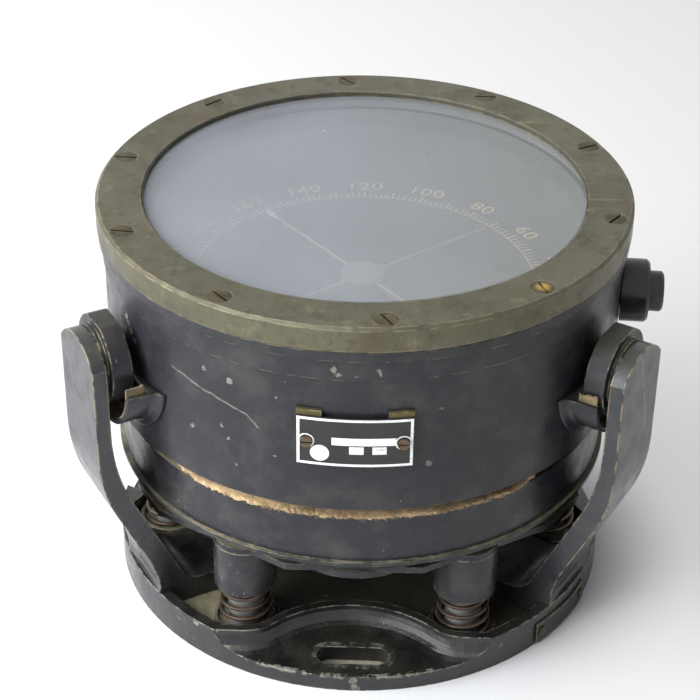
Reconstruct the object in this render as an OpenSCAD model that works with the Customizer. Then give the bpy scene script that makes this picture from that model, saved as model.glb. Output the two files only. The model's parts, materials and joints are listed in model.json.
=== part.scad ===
// Aircraft compass on six coil springs, held down by three arms.
// Z is up, and the origin is the centre of the base's underside.
// The front, with the nameplate and one mounting pocket, faces -Y.

/* [Base] */
// Outer radius of the base tray
base_r = 87.7; // [87:0.1:91]
// Height of the tray's rim
rim_h = 12.9; // [11:0.1:16]
// Thickness of the rim wall
rim_t = 4; // [3:0.1:4.6]
// Thickness of the tray's floor
floor_t = 6.2; // [5.6:0.1:8]
// Thickness of the lip in each mounting pocket
lip_t = 6; // [4:0.1:7]
// Depth of the relief groove in the underside
relief_d = 2; // [1:0.1:2.6]
// Radius of the arch at the inner end of a mounting pocket
pocket_r = 39.6; // [38:0.1:41]
// Distance from the centre to the arch's own centre
pocket_pitch = 98.1; // [97.6:0.1:98.6]
// Thickness of the wall round a pocket
pocket_wall = 3; // [2:0.1:3.4]
// Radius of the fillet at the foot of the pocket wall
pocket_fillet = 7; // [7:0.1:9]
// Overall length of a mounting slot
slot_len = 24.5; // [18:0.1:28]
// Width of a mounting slot
slot_w = 8.6; // [6:0.1:9]
// Radius from the centre to a mounting slot
slot_pitch = 76.8; // [75:0.1:79]

/* [Rim strip] */
// Height of the strip screwed to the rim
strip_h = 7.6; // [5:0.1:9]
// Thickness of the strip
strip_t = 0.8; // [0.5:0.1:1.5]
// Height of the strip's lower edge
strip_z = 1.1; // [0.5:0.1:3]
// Azimuth of the strip's middle
strip_az = -34; // [-38:1:-32]
// Half the angle that the strip covers
strip_half = 10.2; // [8:0.1:12]

/* [Arms] */
// Half the width of an arm
arm_half = 14; // [12:0.1:15]
// Distance from the axis to an arm's upright outer face
arm_out = 105.5; // [104:0.1:108]
// Thickness of the arm's upright part
arm_t = 5; // [4.5:0.1:6]
// Radius of the arched top of an arm
arm_arch_r = 17; // [16:0.1:19]
// Distance from the disc's centre down to the arch's centre
arm_arch_drop = 6.2; // [4:0.1:8]
// Height of the flat on top of the arch, above the disc's centre
arm_flat_up = 10.9; // [9:0.1:11.5]
// Height at which the outer face starts to lean in
arm_bend_z = 76; // [74:0.5:79]
// Height at which the inner face starts to lean in
arm_bend_in_z = 84; // [82:0.5:87]
// Radius of the bend on the outer face
arm_bend_r = 62; // [58:0.5:66]
// Radius of the bend on the inner face
arm_bend_in_r = 70; // [67:0.5:74]
// Angle at which the arm leans in, from upright
arm_slope = 25; // [24:0.1:26]
// Height at which the arm turns upright again
arm_knee_z = 29; // [27:0.5:32]
// Radius of the turn above the rim
arm_knee_r = 45; // [40:0.5:50]
// Radius from the axis to the inner end of an arm's foot
foot_in = 54; // [50:0.5:58]
// Height of the foot's top face
foot_top = 15; // [14:0.1:18]
// Radius of the fillet between foot and arm
foot_fillet = 8; // [5:0.5:10]

/* [Discs and cradles] */
// Radius of the disc on each arm
disc_r = 15; // [13.5:0.1:16]
// Thickness of the disc
disc_t = 7; // [6:0.1:7.6]
// Thickness of the neck between disc and arm
neck_t = 1.5; // [1:0.1:2]
// Radius of that neck
neck_r = 12; // [9:0.1:13]
// Height of the flat on top of the disc, above its centre
disc_flat_up = 14.1; // [12:0.1:14.6]
// Height of the discs' centres above the bowl's underside
disc_up = 30.3; // [28:0.1:31]
// Thickness of the felt in a cradle
felt_pad_t = 0.8; // [0.5:0.1:1.2]
// Height of the felt's upper edge above the cradle's wall
felt_pad_up = 3.1; // [0:0.1:3.3]
// Room all round between felt and disc, if their centres met
cradle_room = 2.3; // [2.2:0.1:3]
// Height of a disc's centre above its cradle's own, as the springs carry the bowl
cradle_drop = 2.6; // [2:0.1:3]
// Angle by which the bowl, with its cradles, sits turned from the arms
cradle_turn = 1.2; // [0:0.1:1.3]
// Depth of the cradle's upper edges below its centre
cradle_cut = 2.1; // [1.5:0.1:4]
// Thickness of the cradle's half-round wall
cradle_t = 1.4; // [1.2:0.1:2]
// Length of the cradle out from its flange
cradle_len = 7.2; // [5:0.1:7.6]
// Width of the flange outside the half-round wall
flange_w = 1.8; // [1:0.1:2.4]
// Thickness of the flange beyond the bowl's wall
flange_t = 2.5; // [2:0.1:3]

/* [Springs] */
// Radius from the axis to each spring post
post_r = 70; // [69:0.1:71]
// Angle from a pocket's middle to the posts beside it
post_half = 32.4; // [31:0.1:33]
// Diameter of the spring wire
wire_d = 1.5; // [1:0.05:1.6]
// Mean radius of the spring at its foot
coil_foot_r = 9.05; // [8.7:0.05:9.3]
// Mean radius of the spring in its sleeve
coil_top_r = 7.65; // [7.5:0.05:7.8]
// Number of turns of each spring
coil_turns = 6.5; // [5:0.5:8]
// Radius of the spigot inside a spring
spigot_r = 6.3; // [5.5:0.1:6.5]
// Outer radius of a sleeve
sleeve_r = 10.75; // [10.2:0.05:11.2]
// Length of a sleeve
sleeve_len = 20.2; // [19:0.1:21]
// Depth of the sleeve's blind bore
sleeve_bore = 14.6; // [13:0.1:15.6]
// Radius of the sleeve's blind bore
sleeve_bore_r = 8.9; // [8.7:0.05:9.2]
// Chamfer round the mouth of a sleeve
sleeve_chamfer = 1.8; // [0.5:0.1:1.8]
// Height of the ridge round a spring's seat
seat_h = 2.3; // [1.5:0.1:3]
// Width of that ridge
seat_w = 1.3; // [1:0.1:1.5]
// Travel of the bowl down on its springs
travel = 4; // [2:0.1:5]

/* [Carrier plate] */
// Height of the carrier plate's underside
plate_z = 42.6; // [42:0.1:43.4]
// Thickness of the carrier plate
plate_t = 2.5; // [2:0.1:3]
// Distance from the axis to the plate's three front edges
plate_front = 76.8; // [76:0.1:77.4]
// Radius of the corners beside the arms
plate_corner_r = 84; // [82:0.1:84.6]
// Half the length of those front edges
plate_front_half = 22.8; // [20:0.1:25]
// Angle from an arm to the corners beside it
plate_tip_a = 6; // [5:0.5:8]
// Gap between a pad under the plate and the sleeves beside it
pad_gap = 0.65; // [0.5:0.05:4]
// Radius from the axis to those pads
pad_pitch = 51; // [49:0.1:51.6]
// Thickness of those pads
pad_t = 2; // [1:0.1:3]
// Radius of the hole in the middle of the plate
plate_hole_r = 22; // [15:0.5:24]

/* [Lower case] */
// Thickness of the cushion ring on the carrier plate
cushion_t = 2.5; // [1.5:0.1:4]
// Height of the lower case
case_h = 23.7; // [22:0.1:26]
// Outer radius of the lower case
case_r = 85; // [84:0.1:85.6]
// Wall thickness of the lower case
case_t = 4; // [3:0.1:5]
// Radius of the ledge round the lower case
ledge_r = 86.4; // [86:0.1:87]
// Thickness of that ledge
ledge_t = 1.3; // [1:0.1:2.5]
// Height of the lower case's foot below the ledge
case_foot_h = 4.7; // [4.2:0.1:6]
// Outer radius of that foot
case_foot_r = 79.5; // [78:0.1:81]
// Thickness of the felt ring under the bowl
felt_t = 4.5; // [3:0.1:5.5]
// Outer radius of the felt ring
felt_r = 86.3; // [86:0.1:87.4]

/* [Bowl] */
// Height of the bowl, from the felt ring to the bezel
bowl_h = 60.9; // [59:0.1:64]
// Outer radius of the bowl's wall
bowl_r = 88; // [87.8:0.1:88.4]
// Inner radius of the bowl below the dial
bowl_in_r = 76; // [74:0.1:77]
// Inner radius of the bowl above the dial
bowl_top_r = 78.6; // [78:0.1:79]
// Thickness of the bowl's floor
bowl_floor = 5.2; // [4:0.1:6]
// Height of the bowl's top flange
flange_h = 4; // [3:0.1:5]
// Height of the shallow step below that flange
band_h = 7.2; // [5:0.1:8]
// Height of the dial above the bowl's underside
dial_up = 32.7; // [30:0.1:36]
// Thickness of the dial ring
dial_t = 1.5; // [1:0.1:2]
// Inner radius of the dial ring
dial_in_r = 57.5; // [55:0.1:59]

/* [Bezel and glass] */
// Outer radius of the bezel
bezel_r = 90; // [89.5:0.1:91]
// Height of the bezel
bezel_h = 8.6; // [8:0.1:10]
// Radius of the bezel's opening
opening_r = 74.4; // [73.5:0.1:75]
// Thickness of the bezel's lip over the glass
lip_over = 1.7; // [1.2:0.1:2.5]
// Thickness of the glass
glass_t = 5.6; // [4:0.1:5.8]
// Radius of the glass
glass_r = 78; // [77:0.1:78.3]
// Number of bezel screws
bezel_screw_n = 10; // [6:1:12]
// Azimuth of the first bezel screw
bezel_screw_az = -84; // [-90:1:-78]
// Radius from the axis to the bezel screws
bezel_screw_pitch = 84.4; // [83.8:0.1:84.8]

/* [Needle] */
// Length of the north arm of the needle
needle_len = 58; // [54:0.1:60]
// Length of the three shorter arms
cross_len = 55.5; // [50:0.1:57]
// Radius of an arm of the needle
needle_wire_r = 0.55; // [0.4:0.05:0.8]
// Radius of the needle's hub
hub_r = 8; // [6.5:0.1:10]
// Azimuth of the north arm as the compass stands
needle_az = 129.7; // [0:0.1:359.9]
// Height of the needle's arms above the dial
needle_over = 1.2; // [0.8:0.1:2]

/* [Lamp] */
// Azimuth of the lamp holder
lamp_az = -3; // [-6:1:0]
// Height of the lamp holder above the bowl's underside
lamp_up = 35.2; // [34.5:0.1:36.6]
// Radius of the lamp holder's body
lamp_r = 10.8; // [9.5:0.1:11]
// Distance from the axis to the end of that body
lamp_body_end = 97.4; // [96:0.1:99]
// Radius of the smaller end of the holder
lamp_stub_r = 6.95; // [6:0.05:8]
// Length of the smaller end
lamp_stub_len = 5; // [4:0.1:7]
// Radius of the lead inlet in the smaller end
lead_r = 2.6; // [2:0.1:3.2]
// Depth of the lead inlet
lead_depth = 4; // [3:0.1:4.4]

/* [Nameplate] */
// Width of the nameplate
name_w = 36.6; // [30:0.1:42]
// Height of the nameplate
name_h = 18; // [16:0.1:22]
// Height of its middle above the bowl's underside
name_up = 27.7; // [25:0.1:31]
// Thickness of the nameplate
name_t = 0.6; // [0.4:0.1:1]

/* [Fastenings] */
// Shank radius of the larger screws
screw_r = 2; // [1.6:0.1:2.4]
// Head radius of the larger countersunk screws
head_r = 3.9; // [3.4:0.1:4.2]
// Shank radius of the small screws
small_screw_r = 1.1; // [0.8:0.05:1.3]
// Head radius of the small screws
small_head_r = 1.9; // [1.6:0.1:2.2]
// Clearance round fixed pieces
fit = 0.1; // [0.05:0.01:0.15]

/* [Hidden] */
$fn = 72;

// Azimuths of the pockets, the arms and the posts
POCKETS = [270, 30, 150];
ARM_LEFT = 210;
ARM_RIGHT = 330;
ARM_REAR = 90;
ARMS = [ARM_LEFT, ARM_RIGHT, ARM_REAR];
POSTS = [for (p = POCKETS) each [p - post_half, p + post_half]];

// Heights of the stack, from the carrier plate up to the bezel's top
plate_top = plate_z + plate_t;
case_z = plate_top + cushion_t;
case_top = case_z + case_h;
bowl_z = case_top + felt_t;
bezel_z = bowl_z + bowl_h;
top_z = bezel_z + bezel_h;
glass_top = top_z - lip_over;
glass_z = glass_top - glass_t;
dial_z = bowl_z + dial_up;
disc_z = bowl_z + disc_up;
ledge_z = case_z + case_foot_h;
ledge_top = ledge_z + ledge_t;

// Places that follow from the sizes above
arm_in = arm_out - arm_t;
arm_top = disc_z + arm_flat_up;
disc_out = arm_in - neck_t;
disc_in = disc_out - disc_t;
tray_r = base_r - rim_t;
rim_flat = sqrt(base_r * base_r - arm_half * arm_half);
cradle_z = disc_z - cradle_drop;
cradle_in_r = disc_r + cradle_room + felt_pad_t;
cradle_screw_half = 8;
cradle_screw_z = cradle_z - 8;
cradle_out_r = cradle_in_r + cradle_t;
flange_face = bowl_r + flange_t;
seat_in_r = coil_foot_r + wire_d / 2 + 0.3;
sleeve_z = plate_z - sleeve_len;
roof_z = sleeve_z + sleeve_bore;
pad_r = norm([post_r * cos(post_half) - pad_pitch, post_r * sin(post_half)]) - sleeve_r - pad_gap;
spigot_top = roof_z - travel - 1;
spring_top = roof_z - 0.3;
post_x = post_r * sin(post_half);
post_y = post_r * cos(post_half);
pocket_post_r = norm([post_x, pocket_pitch - post_y]) - pocket_r;
pocket_reach = base_r + 10;
arch_a = atan(post_x / (pocket_pitch - post_y));
bend_out = norm([post_x, pocket_pitch - post_y]) - 4;
seam = 0.03;
boss_r = 20;
relief_r = 56;
foot_screw_rs = [foot_in + 8, tray_r - 8.7];
bolt_pitch = 72;
gasket_t = 2;
gasket_z = glass_z - gasket_t;
case_screw_pitch = 72;
case_flange_t = 3;
case_flange_in = 67;
diaphragm_r = 38;
diaphragm_t = 0.8;
clamp_t = 3;
clamp_in = 31;
clamp_screw_pitch = 34.5;
vent_r = 6;
vent_pitch = 20;
post_base_r = 6;
pivot_r = 2.5;
pivot_tip_r = 0.8;
jewel_z = dial_z + 0.5;
jewel_r = 1.8;
jewel_t = 2;
hub_z = dial_z - 6;
hub_top = dial_z + 4;
needle_z = dial_z + dial_t + needle_over;
magnet_r = 1.1;
magnet_x = 5.2;
lamp_z = bowl_z + lamp_up;
lamp_bore_r = 6;
lamp_bore_in = bowl_top_r + 2.6;
window_r = 4.4;
bulb_r = 2.6;
bulb_base_r = 3.2;
plug_az = 76;
plug_up = 41;
plug_r = 3;
plug_head_r = 5.5;
plug_seat = bowl_r - 0.5;
name_z = bowl_z + name_up;
name_screw_x = 15.1;
name_screw_xs = [-name_screw_x, name_screw_x];
block_w = 8;
block_h = 4;
block_t = 1.2;

// Points of a circular arc
function arc(c, r, a0, a1, n = 8) = [
    for (i = [0:n]) let (a = a0 + (a1 - a0) * i / n) c + r * [cos(a), sin(a)]
];

// A piece drawn along +X, turned to an azimuth
module at(az) {
    rotate([0, 0, az]) children();
}

// A cylinder along +X from one distance to another
module bar(r, x0, x1, z) {
    translate([x0, 0, z]) rotate([0, 90, 0]) cylinder(r = r, h = x1 - x0);
}

// The six screws between lower case and bowl
module at_case_screws() {
    for (a = [30:60:330]) at(a) translate([case_screw_pitch, 0, 0]) children();
}

// The six screws of the diaphragm's clamp ring
module at_clamp_screws() {
    for (a = [30:60:330]) at(a) translate([clamp_screw_pitch, 0, 0]) children();
}

// A countersunk screw pointing down, with the top of its head at the origin
module screw_down(r, head, length, slot = true) {
    difference() {
        union() {
            translate([0, 0, -length]) cylinder(r = r, h = length);
            translate([0, 0, r - head]) cylinder(r1 = r, r2 = head, h = head - r);
        }
        if (slot) translate([-head, -head * 0.12, -head * 0.22]) cube([2 * head, head * 0.24, head]);
    }
}

// The hole for such a screw
module screw_hole(r, head, length) {
    translate([0, 0, -length]) cylinder(r = r + fit, h = length + 1);
    translate([0, 0, r - head]) cylinder(r1 = r + fit, r2 = head + fit, h = head - r);
    translate([0, 0, -0.001]) cylinder(r = head + fit, h = 2);
}

// Points up a pocket's wall: distance out from the wall, height above the lip
function wall_curve() =
    let (depth = rim_h - lip_t, end = asin(max(0, 1 - depth / pocket_fillet)))
    [for (i = [0:6]) let (a = 90 + (end - 90) * i / 6) pocket_fillet * [1 - cos(a), 1 - sin(a)]];

// The arched middle of a pocket, opening along +Y, for a profile given by its points
module pocket_arch(points) {
    translate([0, pocket_pitch, 0]) rotate_extrude(angle = 2 * arch_a, start = 270 - arch_a) polygon(points);
}

// The parts of a pocket that bend round the post on each side
module pocket_bends(points) {
    for (side = [0, 1]) mirror([side, 0, 0]) translate([post_x, post_y, 0])
        rotate_extrude(angle = 90 - arch_a, start = 90) polygon(points);
}

// The straight parts of a pocket, from each post out through the rim
module pocket_wings(points) {
    for (side = [0, 1]) mirror([side, 0, 0]) translate([post_x, post_y + pocket_post_r, 0])
        rotate([90, 0, 90]) linear_extrude(pocket_reach - post_x) polygon(points);
}

// A mounting slot through the lip, across +X
module slot_hole() {
    half = slot_len / 2 - slot_w / 2;
    translate([slot_pitch, 0, -1]) {
        for (side = [-1, 1]) translate([0, side * half, 0]) cylinder(r = slot_w / 2, h = lip_t + 2);
        translate([-slot_w / 2, -half, 0]) cube([slot_w, 2 * half, lip_t + 2]);
    }
}

// Rim and floor, with solid blocks where the pockets go
module blocked_tray() {
    arch = pocket_r + pocket_wall;
    bend = pocket_post_r - pocket_wall;
    wing = seam - pocket_wall;
    union() {
        union() {
            difference() {
                cylinder(r = base_r, h = rim_h);
                translate([0, 0, floor_t]) cylinder(r = tray_r, h = rim_h);
            }
            intersection() {
                cylinder(r = base_r - 1, h = rim_h);
                for (p = POCKETS) at(p - 90) pocket_arch([[0, 1], [arch, 1], [arch, 50], [0, 50]]);
            }
        }
        intersection() {
            cylinder(r = base_r - 1, h = rim_h);
            for (p = POCKETS) at(p - 90)
                pocket_bends([[bend, 1], [bend_out, 1], [bend_out, 50], [bend, 50]]);
        }
        intersection() {
            cylinder(r = base_r - 1, h = rim_h);
            for (p = POCKETS) at(p - 90)
                pocket_wings([[wing, 1], [pocket_reach, 1], [pocket_reach, 50], [wing, 50]]);
        }
        for (a = POSTS) at(a) translate([post_r, 0, 1])
            cylinder(r = seat_in_r + seat_w, h = floor_t - 1 + seat_h);
    }
}

// The tray with its pockets cut in, one kind of curve after another;
// these meet in hairline steps, so that no two curved faces coincide
module scalloped_tray() {
    r = pocket_r - seam;
    w = wall_curve();
    difference() {
        difference() {
            difference() {
                blocked_tray();
                for (p = POCKETS) at(p - 90) translate([0, 0, lip_t])
                    pocket_arch(concat([[0, 0]], [for (q = w) [r - q[0], q[1]]], [[r, 50], [0, 50]]));
            }
            for (p = POCKETS) at(p - 90) translate([0, 0, lip_t]) pocket_bends(concat(
                [for (q = w) [pocket_post_r + q[0], q[1]]],
                [[pocket_post_r, 50], [bend_out, 50], [bend_out, 0]]));
        }
        for (p = POCKETS) at(p - 90) translate([0, 0, lip_t]) pocket_wings(concat(
            [for (q = w) [seam + q[0], q[1]]], [[seam, 50], [pocket_reach, 50], [pocket_reach, 0]]));
    }
}

// Round tray with three scalloped pockets, six spring seats and its screw holes
module base_casting() {
    color([0.13, 0.13, 0.14]) difference() {
        scalloped_tray();
        for (p = POCKETS) at(p) slot_hole();
        for (a = POSTS) at(a) translate([post_r, 0, floor_t]) cylinder(r = seat_in_r, h = rim_h);
        for (a = POSTS) at(a) translate([post_r, 0, 0]) mirror([0, 0, 1])
            screw_hole(screw_r, head_r, floor_t + 1);
        for (a = ARMS) for (x = foot_screw_rs) at(a) translate([x, 0, 0]) mirror([0, 0, 1])
            screw_hole(screw_r, head_r, floor_t + 1);
        translate([0, 0, -1]) difference() {
            cylinder(r = relief_r, h = relief_d + 1);
            cylinder(r = boss_r, h = relief_d + 1);
        }
    }
}

// A sector of a ring that hugs the rim
module ring_sector(r0, r1, z, h, az, half) {
    far = 2 * r1;
    intersection() {
        translate([0, 0, z]) difference() {
            cylinder(r = r1, h = h);
            translate([0, 0, -1]) cylinder(r = r0, h = h + 2);
        }
        rotate([0, 0, az]) translate([0, 0, z - 1]) linear_extrude(h + 2)
            polygon([[0, 0], [far * cos(half), -far * sin(half)], [far * cos(half), far * sin(half)]]);
    }
}

// The two places of the strip's screws
module at_strip_screws() {
    for (side = [-1, 1]) rotate([0, 0, strip_az + side * (strip_half - 1.7)])
        translate([0, 0, strip_z + strip_h / 2]) children();
}

module rim_strip() {
    color([0.16, 0.15, 0.13]) difference() {
        ring_sector(base_r, base_r + strip_t, strip_z, strip_h, strip_az, strip_half);
        at_strip_screws() bar(small_screw_r + fit, base_r - 5, base_r + 5, 0);
    }
}

module strip_screws() {
    color([0.4, 0.36, 0.25]) at_strip_screws()
        bar(small_head_r, base_r + strip_t, base_r + strip_t + 0.5, 0);
}

// An arm's side profile: distance from the axis, height
function arm_profile() =
    let (
        s = arm_slope,
        c1 = [arm_out - arm_bend_r, arm_bend_z],
        p1 = c1 + arm_bend_r * [cos(s), -sin(s)],
        knee = [p1[0] - (p1[1] - arm_knee_z) * tan(s), arm_knee_z],
        c2 = knee + arm_knee_r * [cos(s), -sin(s)],
        c3 = [arm_in - arm_bend_in_r, arm_bend_in_z],
        p3 = c3 + arm_bend_in_r * [cos(s), -sin(s)],
        run = (p3[1] + foot_fillet * sin(s) - foot_top - foot_fillet) / cos(s),
        c4 = p3 + run * [-sin(s), -cos(s)] + foot_fillet * [-cos(s), sin(s)]
    )
    concat(
        [[arm_out, arm_top]],
        arc(c1, arm_bend_r, 0, -s),
        arc(c2, arm_knee_r, 180 - s, 172, 4),
        [[rim_flat, rim_h], [rim_flat, floor_t], [foot_in, floor_t]],
        [[foot_in, foot_top - 2], [foot_in + 2, foot_top]],
        arc(c4, foot_fillet, -90, -s, 6),
        arc(c3, arm_bend_in_r, -s, 0),
        [[arm_in, arm_top]]
    );

// A strap cast with its foot, which stands in the tray and laps over the rim
module arm(az) {
    arch_z = disc_z - arm_arch_drop;
    at(az) difference() {
        intersection() {
            rotate([90, 0, 0]) linear_extrude(2 * arm_half, center = true) polygon(arm_profile());
            rotate([90, 0, 90]) linear_extrude(arm_out + 1) intersection() {
                union() {
                    translate([-arm_half, 0]) square([2 * arm_half, arch_z]);
                    translate([0, arch_z]) circle(r = arm_arch_r);
                }
                translate([-arm_half, 0]) square([2 * arm_half, arm_top]);
            }
        }
        translate([0, 0, -1]) difference() {
            cylinder(r = base_r + 5, h = rim_h + 1);
            cylinder(r = tray_r - fit, h = rim_h + 1);
        }
        for (x = foot_screw_rs) translate([x, 0, floor_t - 1]) cylinder(r = screw_r + fit, h = 7);
        bar(screw_r + fit, arm_in - 1, arm_in + 3.6, disc_z);
    }
}

module arm_left() {
    color([0.2, 0.2, 0.22]) arm(ARM_LEFT);
}

module arm_right() {
    color([0.2, 0.2, 0.22]) arm(ARM_RIGHT);
}

module arm_rear() {
    color([0.2, 0.2, 0.22]) arm(ARM_REAR);
}

module arm_screws() {
    color([0.45, 0.42, 0.35]) for (a = ARMS) for (x = foot_screw_rs) at(a)
        translate([x, 0, 0]) mirror([0, 0, 1]) screw_down(screw_r, head_r, floor_t + 5.5);
}

// A disc that holds the bowl down, on a short neck against its arm
module disc(az) {
    at(az) difference() {
        union() {
            difference() {
                bar(disc_r, disc_in, disc_out, disc_z);
                translate([disc_in - 1, -disc_r, disc_z + disc_flat_up])
                    cube([disc_t + 2, 2 * disc_r, disc_r]);
            }
            bar(neck_r, disc_out - 0.5, arm_in, disc_z);
        }
        translate([disc_in, 0, disc_z]) rotate([0, -90, 0]) screw_hole(screw_r, head_r, disc_t + neck_t + 1);
    }
}

module disc_left() {
    color([0.16, 0.16, 0.17]) disc(ARM_LEFT);
}

module disc_right() {
    color([0.16, 0.16, 0.17]) disc(ARM_RIGHT);
}

module disc_rear() {
    color([0.16, 0.16, 0.17]) disc(ARM_REAR);
}

module disc_screws() {
    color([0.45, 0.42, 0.35]) for (a = ARMS) at(a) translate([disc_in, 0, disc_z]) rotate([0, -90, 0])
        screw_down(screw_r, head_r, disc_t + neck_t + 3.4);
}

// Bright pins that stand inside the springs
module spring_spigots() {
    color([0.75, 0.75, 0.75]) for (a = POSTS) at(a) translate([post_r, 0, 0]) difference() {
        translate([0, 0, floor_t]) rotate_extrude()
            polygon([[0, 0], [spigot_r, 0], [spigot_r, spigot_top - floor_t - 1],
                [spigot_r - 1, spigot_top - floor_t], [0, spigot_top - floor_t]]);
        translate([0, 0, floor_t - 1]) cylinder(r = screw_r + fit, h = 9);
    }
}

module spigot_screws() {
    color([0.45, 0.42, 0.35]) for (a = POSTS) at(a)
        translate([post_r, 0, 0]) mirror([0, 0, 1]) screw_down(screw_r, head_r, floor_t + 7);
}

// Centre line of a spring: upright at both ends, and wound in between
coil_z0 = floor_t + 1.5 * wire_d;
coil_z1 = spring_top - 1.5 * wire_d;
coil_steps = 8 * coil_turns;
function coil_r(z) = z < sleeve_z ?
    coil_foot_r + (coil_top_r - coil_foot_r) * (z - coil_z0) / (sleeve_z - coil_z0) : coil_top_r;
function coil_point(i) =
    let (a = 45 * i, z = coil_z0 + (coil_z1 - coil_z0) * i / coil_steps, r = coil_r(z))
    [r * cos(a), r * sin(a), z];
coil_foot = coil_point(0);
coil_head = coil_point(coil_steps);
coil_line = concat(
    [[coil_foot[0], coil_foot[1], floor_t], [coil_foot[0], coil_foot[1], floor_t + wire_d]],
    [for (i = [1:coil_steps - 1]) coil_point(i)],
    [[coil_head[0], coil_head[1], spring_top - wire_d], [coil_head[0], coil_head[1], spring_top]]
);
coil_gap = min([for (i = [0:len(coil_line) - 1]) for (j = [i + 5:1:len(coil_line) - 1])
    norm(coil_line[i] - coil_line[j])]) - wire_d;
echo(str("least gap of a spring to itself, mm: ", coil_gap));

// An unbroken tube along a line of points, of six sides
module tube(line, r) {
    n = len(line);
    unit = function(v) v / norm(v);
    rings = [for (i = [0:n - 1])
        let (
            t = unit(line[min(i + 1, n - 1)] - line[max(i - 1, 0)]),
            out = [line[i][0], line[i][1], 0],
            u = unit(out - (out * t) * t),
            v = cross(t, u)
        )
        for (k = [0:5]) line[i] + r * (cos(60 * k) * u + sin(60 * k) * v)];
    sides = [for (i = [0:n - 2]) for (k = [0:5])
        let (a = 6 * i + k, b = 6 * i + (k + 1) % 6)
        each [[a, a + 6, b], [b, a + 6, b + 6]]];
    foot = [for (k = [1:4]) [0, k, k + 1]];
    head = [for (k = [1:4]) let (m = 6 * (n - 1)) [m, m + k + 1, m + k]];
    polyhedron(points = rings, faces = concat(sides, foot, head));
}

module spring(i) {
    color([0.55, 0.4, 0.3]) at(POSTS[i]) translate([post_r, 0, 0]) tube(coil_line, wire_d / 2);
}

module spring_1() {
    spring(0);
}

module spring_2() {
    spring(1);
}

module spring_3() {
    spring(2);
}

module spring_4() {
    spring(3);
}

module spring_5() {
    spring(4);
}

module spring_6() {
    spring(5);
}

// A sleeve that hangs from the carrier plate over a spring
module sleeve(i) {
    color([0.2, 0.2, 0.21]) at(POSTS[i]) translate([post_r, 0, sleeve_z]) difference() {
        rotate_extrude() polygon([[sleeve_bore_r, 0], [sleeve_r - sleeve_chamfer + 0.02, 0],
            [sleeve_r, sleeve_chamfer], [sleeve_r, sleeve_len], [0, sleeve_len],
            [0, sleeve_bore], [sleeve_bore_r, sleeve_bore]]);
        cylinder(r = screw_r + fit, h = sleeve_len + 1);
    }
}

module sleeve_1() {
    sleeve(0);
}

module sleeve_2() {
    sleeve(1);
}

module sleeve_3() {
    sleeve(2);
}

module sleeve_4() {
    sleeve(3);
}

module sleeve_5() {
    sleeve(4);
}

module sleeve_6() {
    sleeve(5);
}

module sleeve_screws() {
    color([0.45, 0.42, 0.35]) for (a = POSTS) at(a) translate([post_r, 0, plate_top])
        screw_down(screw_r, head_r, plate_t + sleeve_len - sleeve_bore - 0.5);
}

// The plate's plan: twelve straight sides, with a round bulge at each sleeve
module plate_outline() {
    front_a = atan(plate_front_half / plate_front);
    corners = [[front_a, plate_front / cos(front_a)], [60 - plate_tip_a, plate_corner_r]];
    polygon([for (p = POCKETS) each concat(
        [for (i = [1:-1:0]) corners[i][1] * [cos(p - corners[i][0]), sin(p - corners[i][0])]],
        [for (c = corners) c[1] * [cos(p + c[0]), sin(p + c[0])]])]);
    for (a = POSTS) rotate(a) translate([post_r, 0]) circle(r = sleeve_r);
}

module carrier_plate() {
    color([0.22, 0.22, 0.23]) difference() {
        union() {
            translate([0, 0, plate_z]) linear_extrude(plate_t) plate_outline();
            for (p = POCKETS) at(p) translate([pad_pitch, 0, plate_z - pad_t])
                cylinder(r = pad_r, h = pad_t + 0.5);
        }
        translate([0, 0, plate_z - pad_t - 1]) cylinder(r = plate_hole_r, h = plate_t + pad_t + 2);
        for (a = POSTS) at(a) translate([post_r, 0, plate_top]) screw_hole(screw_r, head_r, plate_t + 2);
        for (p = POCKETS) at(p) translate([bolt_pitch, 0, plate_z - pad_t]) mirror([0, 0, 1])
            screw_hole(screw_r, head_r, plate_t + pad_t + 2);
    }
}

module cushion_ring() {
    color([0.07, 0.07, 0.07]) difference() {
        translate([0, 0, plate_top]) cylinder(r = case_foot_r - 1, h = cushion_t);
        translate([0, 0, plate_top - 1]) cylinder(r = case_foot_r - 12, h = cushion_t + 2);
        for (a = POSTS) at(a) translate([post_r, 0, plate_top - 1])
            cylinder(r = head_r + 0.6, h = cushion_t + 2);
        for (p = POCKETS) at(p) translate([bolt_pitch, 0, plate_top - 1])
            cylinder(r = screw_r + fit, h = cushion_t + 2);
    }
}

module case_bolts() {
    color([0.45, 0.42, 0.35]) for (p = POCKETS) at(p) translate([bolt_pitch, 0, plate_z - pad_t])
        mirror([0, 0, 1]) screw_down(screw_r, head_r, plate_t + pad_t + cushion_t + 4);
}

// Lower half of the case: foot, ledge, wall and inner flange
module lower_case() {
    color([0.15, 0.15, 0.16]) difference() {
        union() {
            translate([0, 0, case_z]) cylinder(r = case_foot_r, h = case_foot_h + 0.5);
            translate([0, 0, ledge_z]) cylinder(r = ledge_r, h = ledge_t);
            translate([0, 0, ledge_top - 0.5]) cylinder(r = case_r, h = case_top - ledge_top + 0.5);
        }
        translate([0, 0, ledge_top]) cylinder(r = case_r - case_t, h = case_top - ledge_top - case_flange_t);
        translate([0, 0, case_top - case_flange_t - 1]) cylinder(r = case_flange_in, h = case_flange_t + 2);
        translate([0, 0, case_z - 1]) cylinder(r = plate_hole_r, h = case_foot_h + ledge_t + 2);
        for (p = POCKETS) at(p) translate([bolt_pitch, 0, case_z - 1]) cylinder(r = screw_r + fit, h = 6);
        at_case_screws() translate([0, 0, case_top - case_flange_t])
            mirror([0, 0, 1]) screw_hole(screw_r - 0.5, head_r - 1, case_flange_t + 2);
    }
}

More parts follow.
